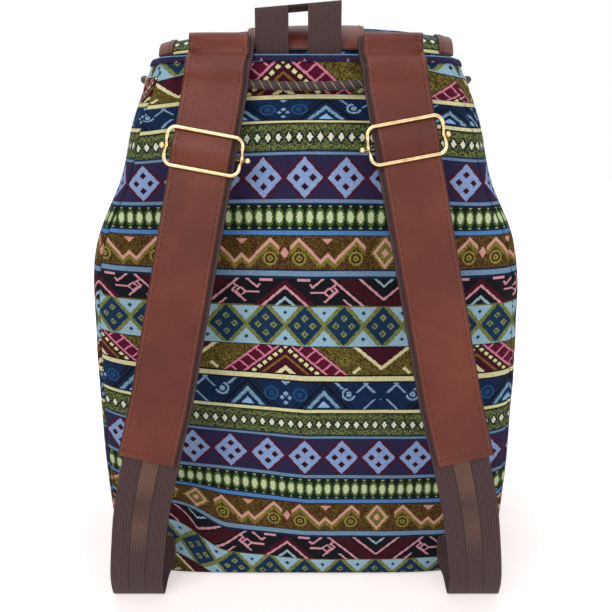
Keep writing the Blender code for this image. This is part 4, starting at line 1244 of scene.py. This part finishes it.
def addSlider(sign, side, gilt, leather, thread):
    top = Vector((sign * strap["top"][0], strap["top"][1], strap["top"][2]))
    foot = Vector((sign * strap["foot"][0], strap["foot"][1], strap["foot"][2]))
    down = (foot - top).normalized()
    across = (Vector((1, 0, 0)) - down.x * down).normalized()
    face = down.cross(across)
    centre = top + down * slider["drops"][side]

    def spot(w, h, lift):
        return centre + across * w - down * h + face * lift

    wire = slider["wire"] / 2
    gap = bag["gap"]
    rail = strap["webbing"] / 2 + strap["leatherGap"] + strap["leather"] + gap + wire
    bar = -(strap["webbing"] / 2 + gap + slider["bar"] / 2)
    dip = bar + slider["bar"] / 2 + gap + wire
    halfW, halfH = slider["width"] / 2 - wire, slider["height"] / 2 - wire
    straightW, straightH = halfW - slider["corner"], halfH - slider["corner"]
    quarter = []
    for h in spaced(0.0, straightH, 9):
        quarter.append((halfW, h, rail - (rail - dip) * (1 - smooth(h / straightH))))
    for i in range(1, 11):
        turn = math.pi / 2 * i / 10
        quarter.append((straightW + slider["corner"] * math.cos(turn),
                        straightH + slider["corner"] * math.sin(turn), rail))
    quarter.append((0.0, halfH, rail))
    loop = quarter + [(-w, h, lift) for w, h, lift in reversed(quarter[:-1])]
    loop += [(w, -h, lift) for w, h, lift in reversed(loop[1:-1])]
    body = f"slider_{side}"
    tubePiece(f"wire_{side}", [spot(*p) for p in loop], wire, gilt, (f"slider_{side}_frame",),
              body, True)
    ball = slider["ball"] / 2
    reach = halfW + wire + gap + ball
    join = math.asin(slider["bar"] / 2 / ball)
    end = [(ball * math.sin(t), reach + ball * math.cos(t)) for t in spaced(0.0, math.pi - join, 12)]
    end[0] = (0, end[0][1])
    profile = end + [(r, -h) for r, h in reversed(end)]
    turnedPiece(f"pin_{side}", profile, across, spot(0, 0, bar), gilt, (f"slider_{side}_bar",),
                body, 24)

    # The strap's leather where it bulges over the bar, between the two rails
    lift = strap["webbing"] / 2 + strap["leatherGap"] + strap["leather"] / 2
    shift = sign * strap["backing"] / 2
    span = halfH + wire * 0.4
    thin = 0.0008

    def hump(at):
        return slider["bulge"] * math.cos(math.pi / 2 * min(abs(at), 1.0)) ** 1.3

    def place(aside, along):
        h = span * (2 * along - 1)
        w = strap["width"] * 0.992 * (aside - 0.5)
        out = lift + strap["leather"] / 2 - thin / 2 + 0.0001 + hump(h / span)
        return spot(shift + w, h, out), (w, h)

    gridPiece(f"bulge_{side}", 24, 40, place, leather, (), body, thin, 0.0, bevel=0.0002)
    stitches = []
    steps = 5
    for i in range(steps):
        h = span * (2 * (i + 0.5) / steps - 1)
        for way in (-1, 1):
            w = shift + way * (strap["width"] / 2 - strap["stitchInset"])
            out = lift + strap["leather"] / 2 + 0.0003 + hump(h / span)
            slope = (hump((h + 0.0005) / span) - hump((h - 0.0005) / span)) / 0.001
            along = (-down + face * slope).normalized()
            stitches.append((spot(w, h, out), along, face))
    stitchPiece(f"bulge_thread_{side}", stitches, strap["stitch"], strap["thread"], thread, body)


# The rays that meet the white background: the camera's, and those that metal and leather mirror
def backgroundRays(tree):
    ray = addNode(tree, "ShaderNodeLightPath")
    seen = Field(tree, ray.outputs["Is Camera Ray"]).either(Field(tree, ray.outputs["Is Glossy Ray"]))
    return seen.either(Field(tree, ray.outputs["Is Transmission Ray"]))


def addStage():
    form = bmesh.new()
    bmesh.ops.create_grid(form, x_segments=1, y_segments=1, size=4.0)
    mesh = bpy.data.meshes.new("floor")
    form.to_mesh(mesh)
    form.free()
    made, tree, shader = newMaterial("pale floor")
    shader.inputs["Base Color"].default_value = linear("F7F1F0")
    shader.inputs["Roughness"].default_value = 0.75
    shader.inputs["Emission Color"].default_value = linear("FFF6F4")
    # the floor glows white to the camera; the glow is weaker round the bag, which paints a soft pinkish shade
    # there over its real shadow
    spot = addNode(tree, "ShaderNodeTexCoord")
    away = addNode(tree, "ShaderNodeVectorMath", {"operation": "LENGTH"}, {"Vector": spot.outputs["Object"]})
    # painted shade: the glow falls from 0.95 far off to 0.52 close round the bag
    glowLessRoundBag = addNode(tree, "ShaderNodeMapRange", {"interpolation_type": "SMOOTHSTEP"},
                    {"Value": away.outputs["Value"], "From Min": 0.14, "From Max": 0.50, "To Min": 0.52,
                     "To Max": 0.95})
    glow = backgroundRays(tree) * Field(tree, glowLessRoundBag.outputs[0])
    tree.links.new(glow.socket, shader.inputs["Emission Strength"])
    mesh.materials.append(made)
    floor = bpy.data.objects.new("floor", mesh)
    bpy.context.scene.collection.objects.link(floor)


def addLamp(name, place, target, size, power, shade="FFFFFF"):
    data = bpy.data.lights.new(name, "AREA")
    data.shape = "RECTANGLE"
    data.size, data.size_y = size
    data.energy = power
    data.color = linear(shade)[:3]
    made = bpy.data.objects.new(name, data)
    made.location = place
    made.rotation_euler = (Vector(target) - Vector(place)).to_track_quat("-Z", "Y").to_euler()
    bpy.context.scene.collection.objects.link(made)


def addLight():
    addLamp("key", (-0.55, -1.25, 1.25), (0, 0, 0.2), (1.0, 0.8), 10.5)
    addLamp("fill", (0.95, -1.05, 0.75), (0, 0, 0.2), (0.9, 0.9), 4.0)
    addLamp("top", (0.0, 0.1, 1.5), (0, 0, 0.2), (1.6, 1.2), 5.0)
    world = bpy.data.worlds.new("studio")
    world.use_nodes = True
    tree = world.node_tree
    strength = backgroundRays(tree) * 0.73 + 0.27
    back = tree.nodes["Background"]
    back.inputs["Color"].default_value = linear("FFFFFF")
    tree.links.new(strength.socket, back.inputs["Strength"])
    bpy.context.scene.world = world


def addCamera():
    data = bpy.data.cameras.new("camera")
    data.lens = view["lens"]
    data.sensor_width = 36.0
    data.clip_start = 0.01
    made = bpy.data.objects.new("camera", data)
    made.location = view["place"]
    made.rotation_euler = (math.radians(view["tiltDegrees"]), 0, 0)
    bpy.context.scene.collection.objects.link(made)
    scene = bpy.context.scene
    scene.camera = made
    scene.render.engine = "CYCLES"
    scene.cycles.samples = view["samples"]
    scene.cycles.use_denoising = True
    scene.render.resolution_x = view["pixels"]
    scene.render.resolution_y = view["pixels"]
    scene.view_settings.view_transform = "Standard"


def main():
    addCamera()
    addStage()
    addLight()
    print("camera, floor and lights are in place")
    canvas, lining = canvasMaterial(), liningMaterial()
    strapLeather = leatherMaterial("strap leather", strap["width"] / 2)
    stripLeather = leatherMaterial("flap strip leather", flap["centreWidth"] / 2)
    edgeLeather = leatherMaterial("edge leather")
    wideWebbing = webbingMaterial("strap webbing", 1.9, 6.0)
    loopWebbing = webbingMaterial("haul loop webbing", 1.2, 0)
    thread = plainMaterial("dark red thread", "3A0C08", "5A1A12", 900.0, 0.6)
    seamThread = plainMaterial("dark seam thread", "0E1014", "20242A", 900.0, 0.7)
    gilt = plainMaterial("gilt metal", "D2B27C", "EED9AC", 260.0, 0.20, 1.0, 0.05)
    yarn = cordMaterial()
    print("materials are made")
    addBag(canvas, lining, seamThread)
    addHem(canvas)
    addEyelets(gilt)
    print("bag is dressed")
    length = addCord(yarn)
    print(f"drawstring is {length:.3f} m long without its knots")
    addFlap(canvas, lining, stripLeather, edgeLeather, thread)
    addHandle(loopWebbing)
    for sign, side in ((-1, "left"), (1, "right")):
        addStrap(sign, side, wideWebbing, strapLeather, thread)
        addSlider(sign, side, gilt, strapLeather, thread)
    print("flap, haul loop, straps and sliders are dressed")
    for name, finish in (("base_panel", lining), ("snap_stud", gilt), ("snap_socket", gilt)):
        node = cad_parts[name]
        for slot in node.material_slots:
            slot.material = finish


main()
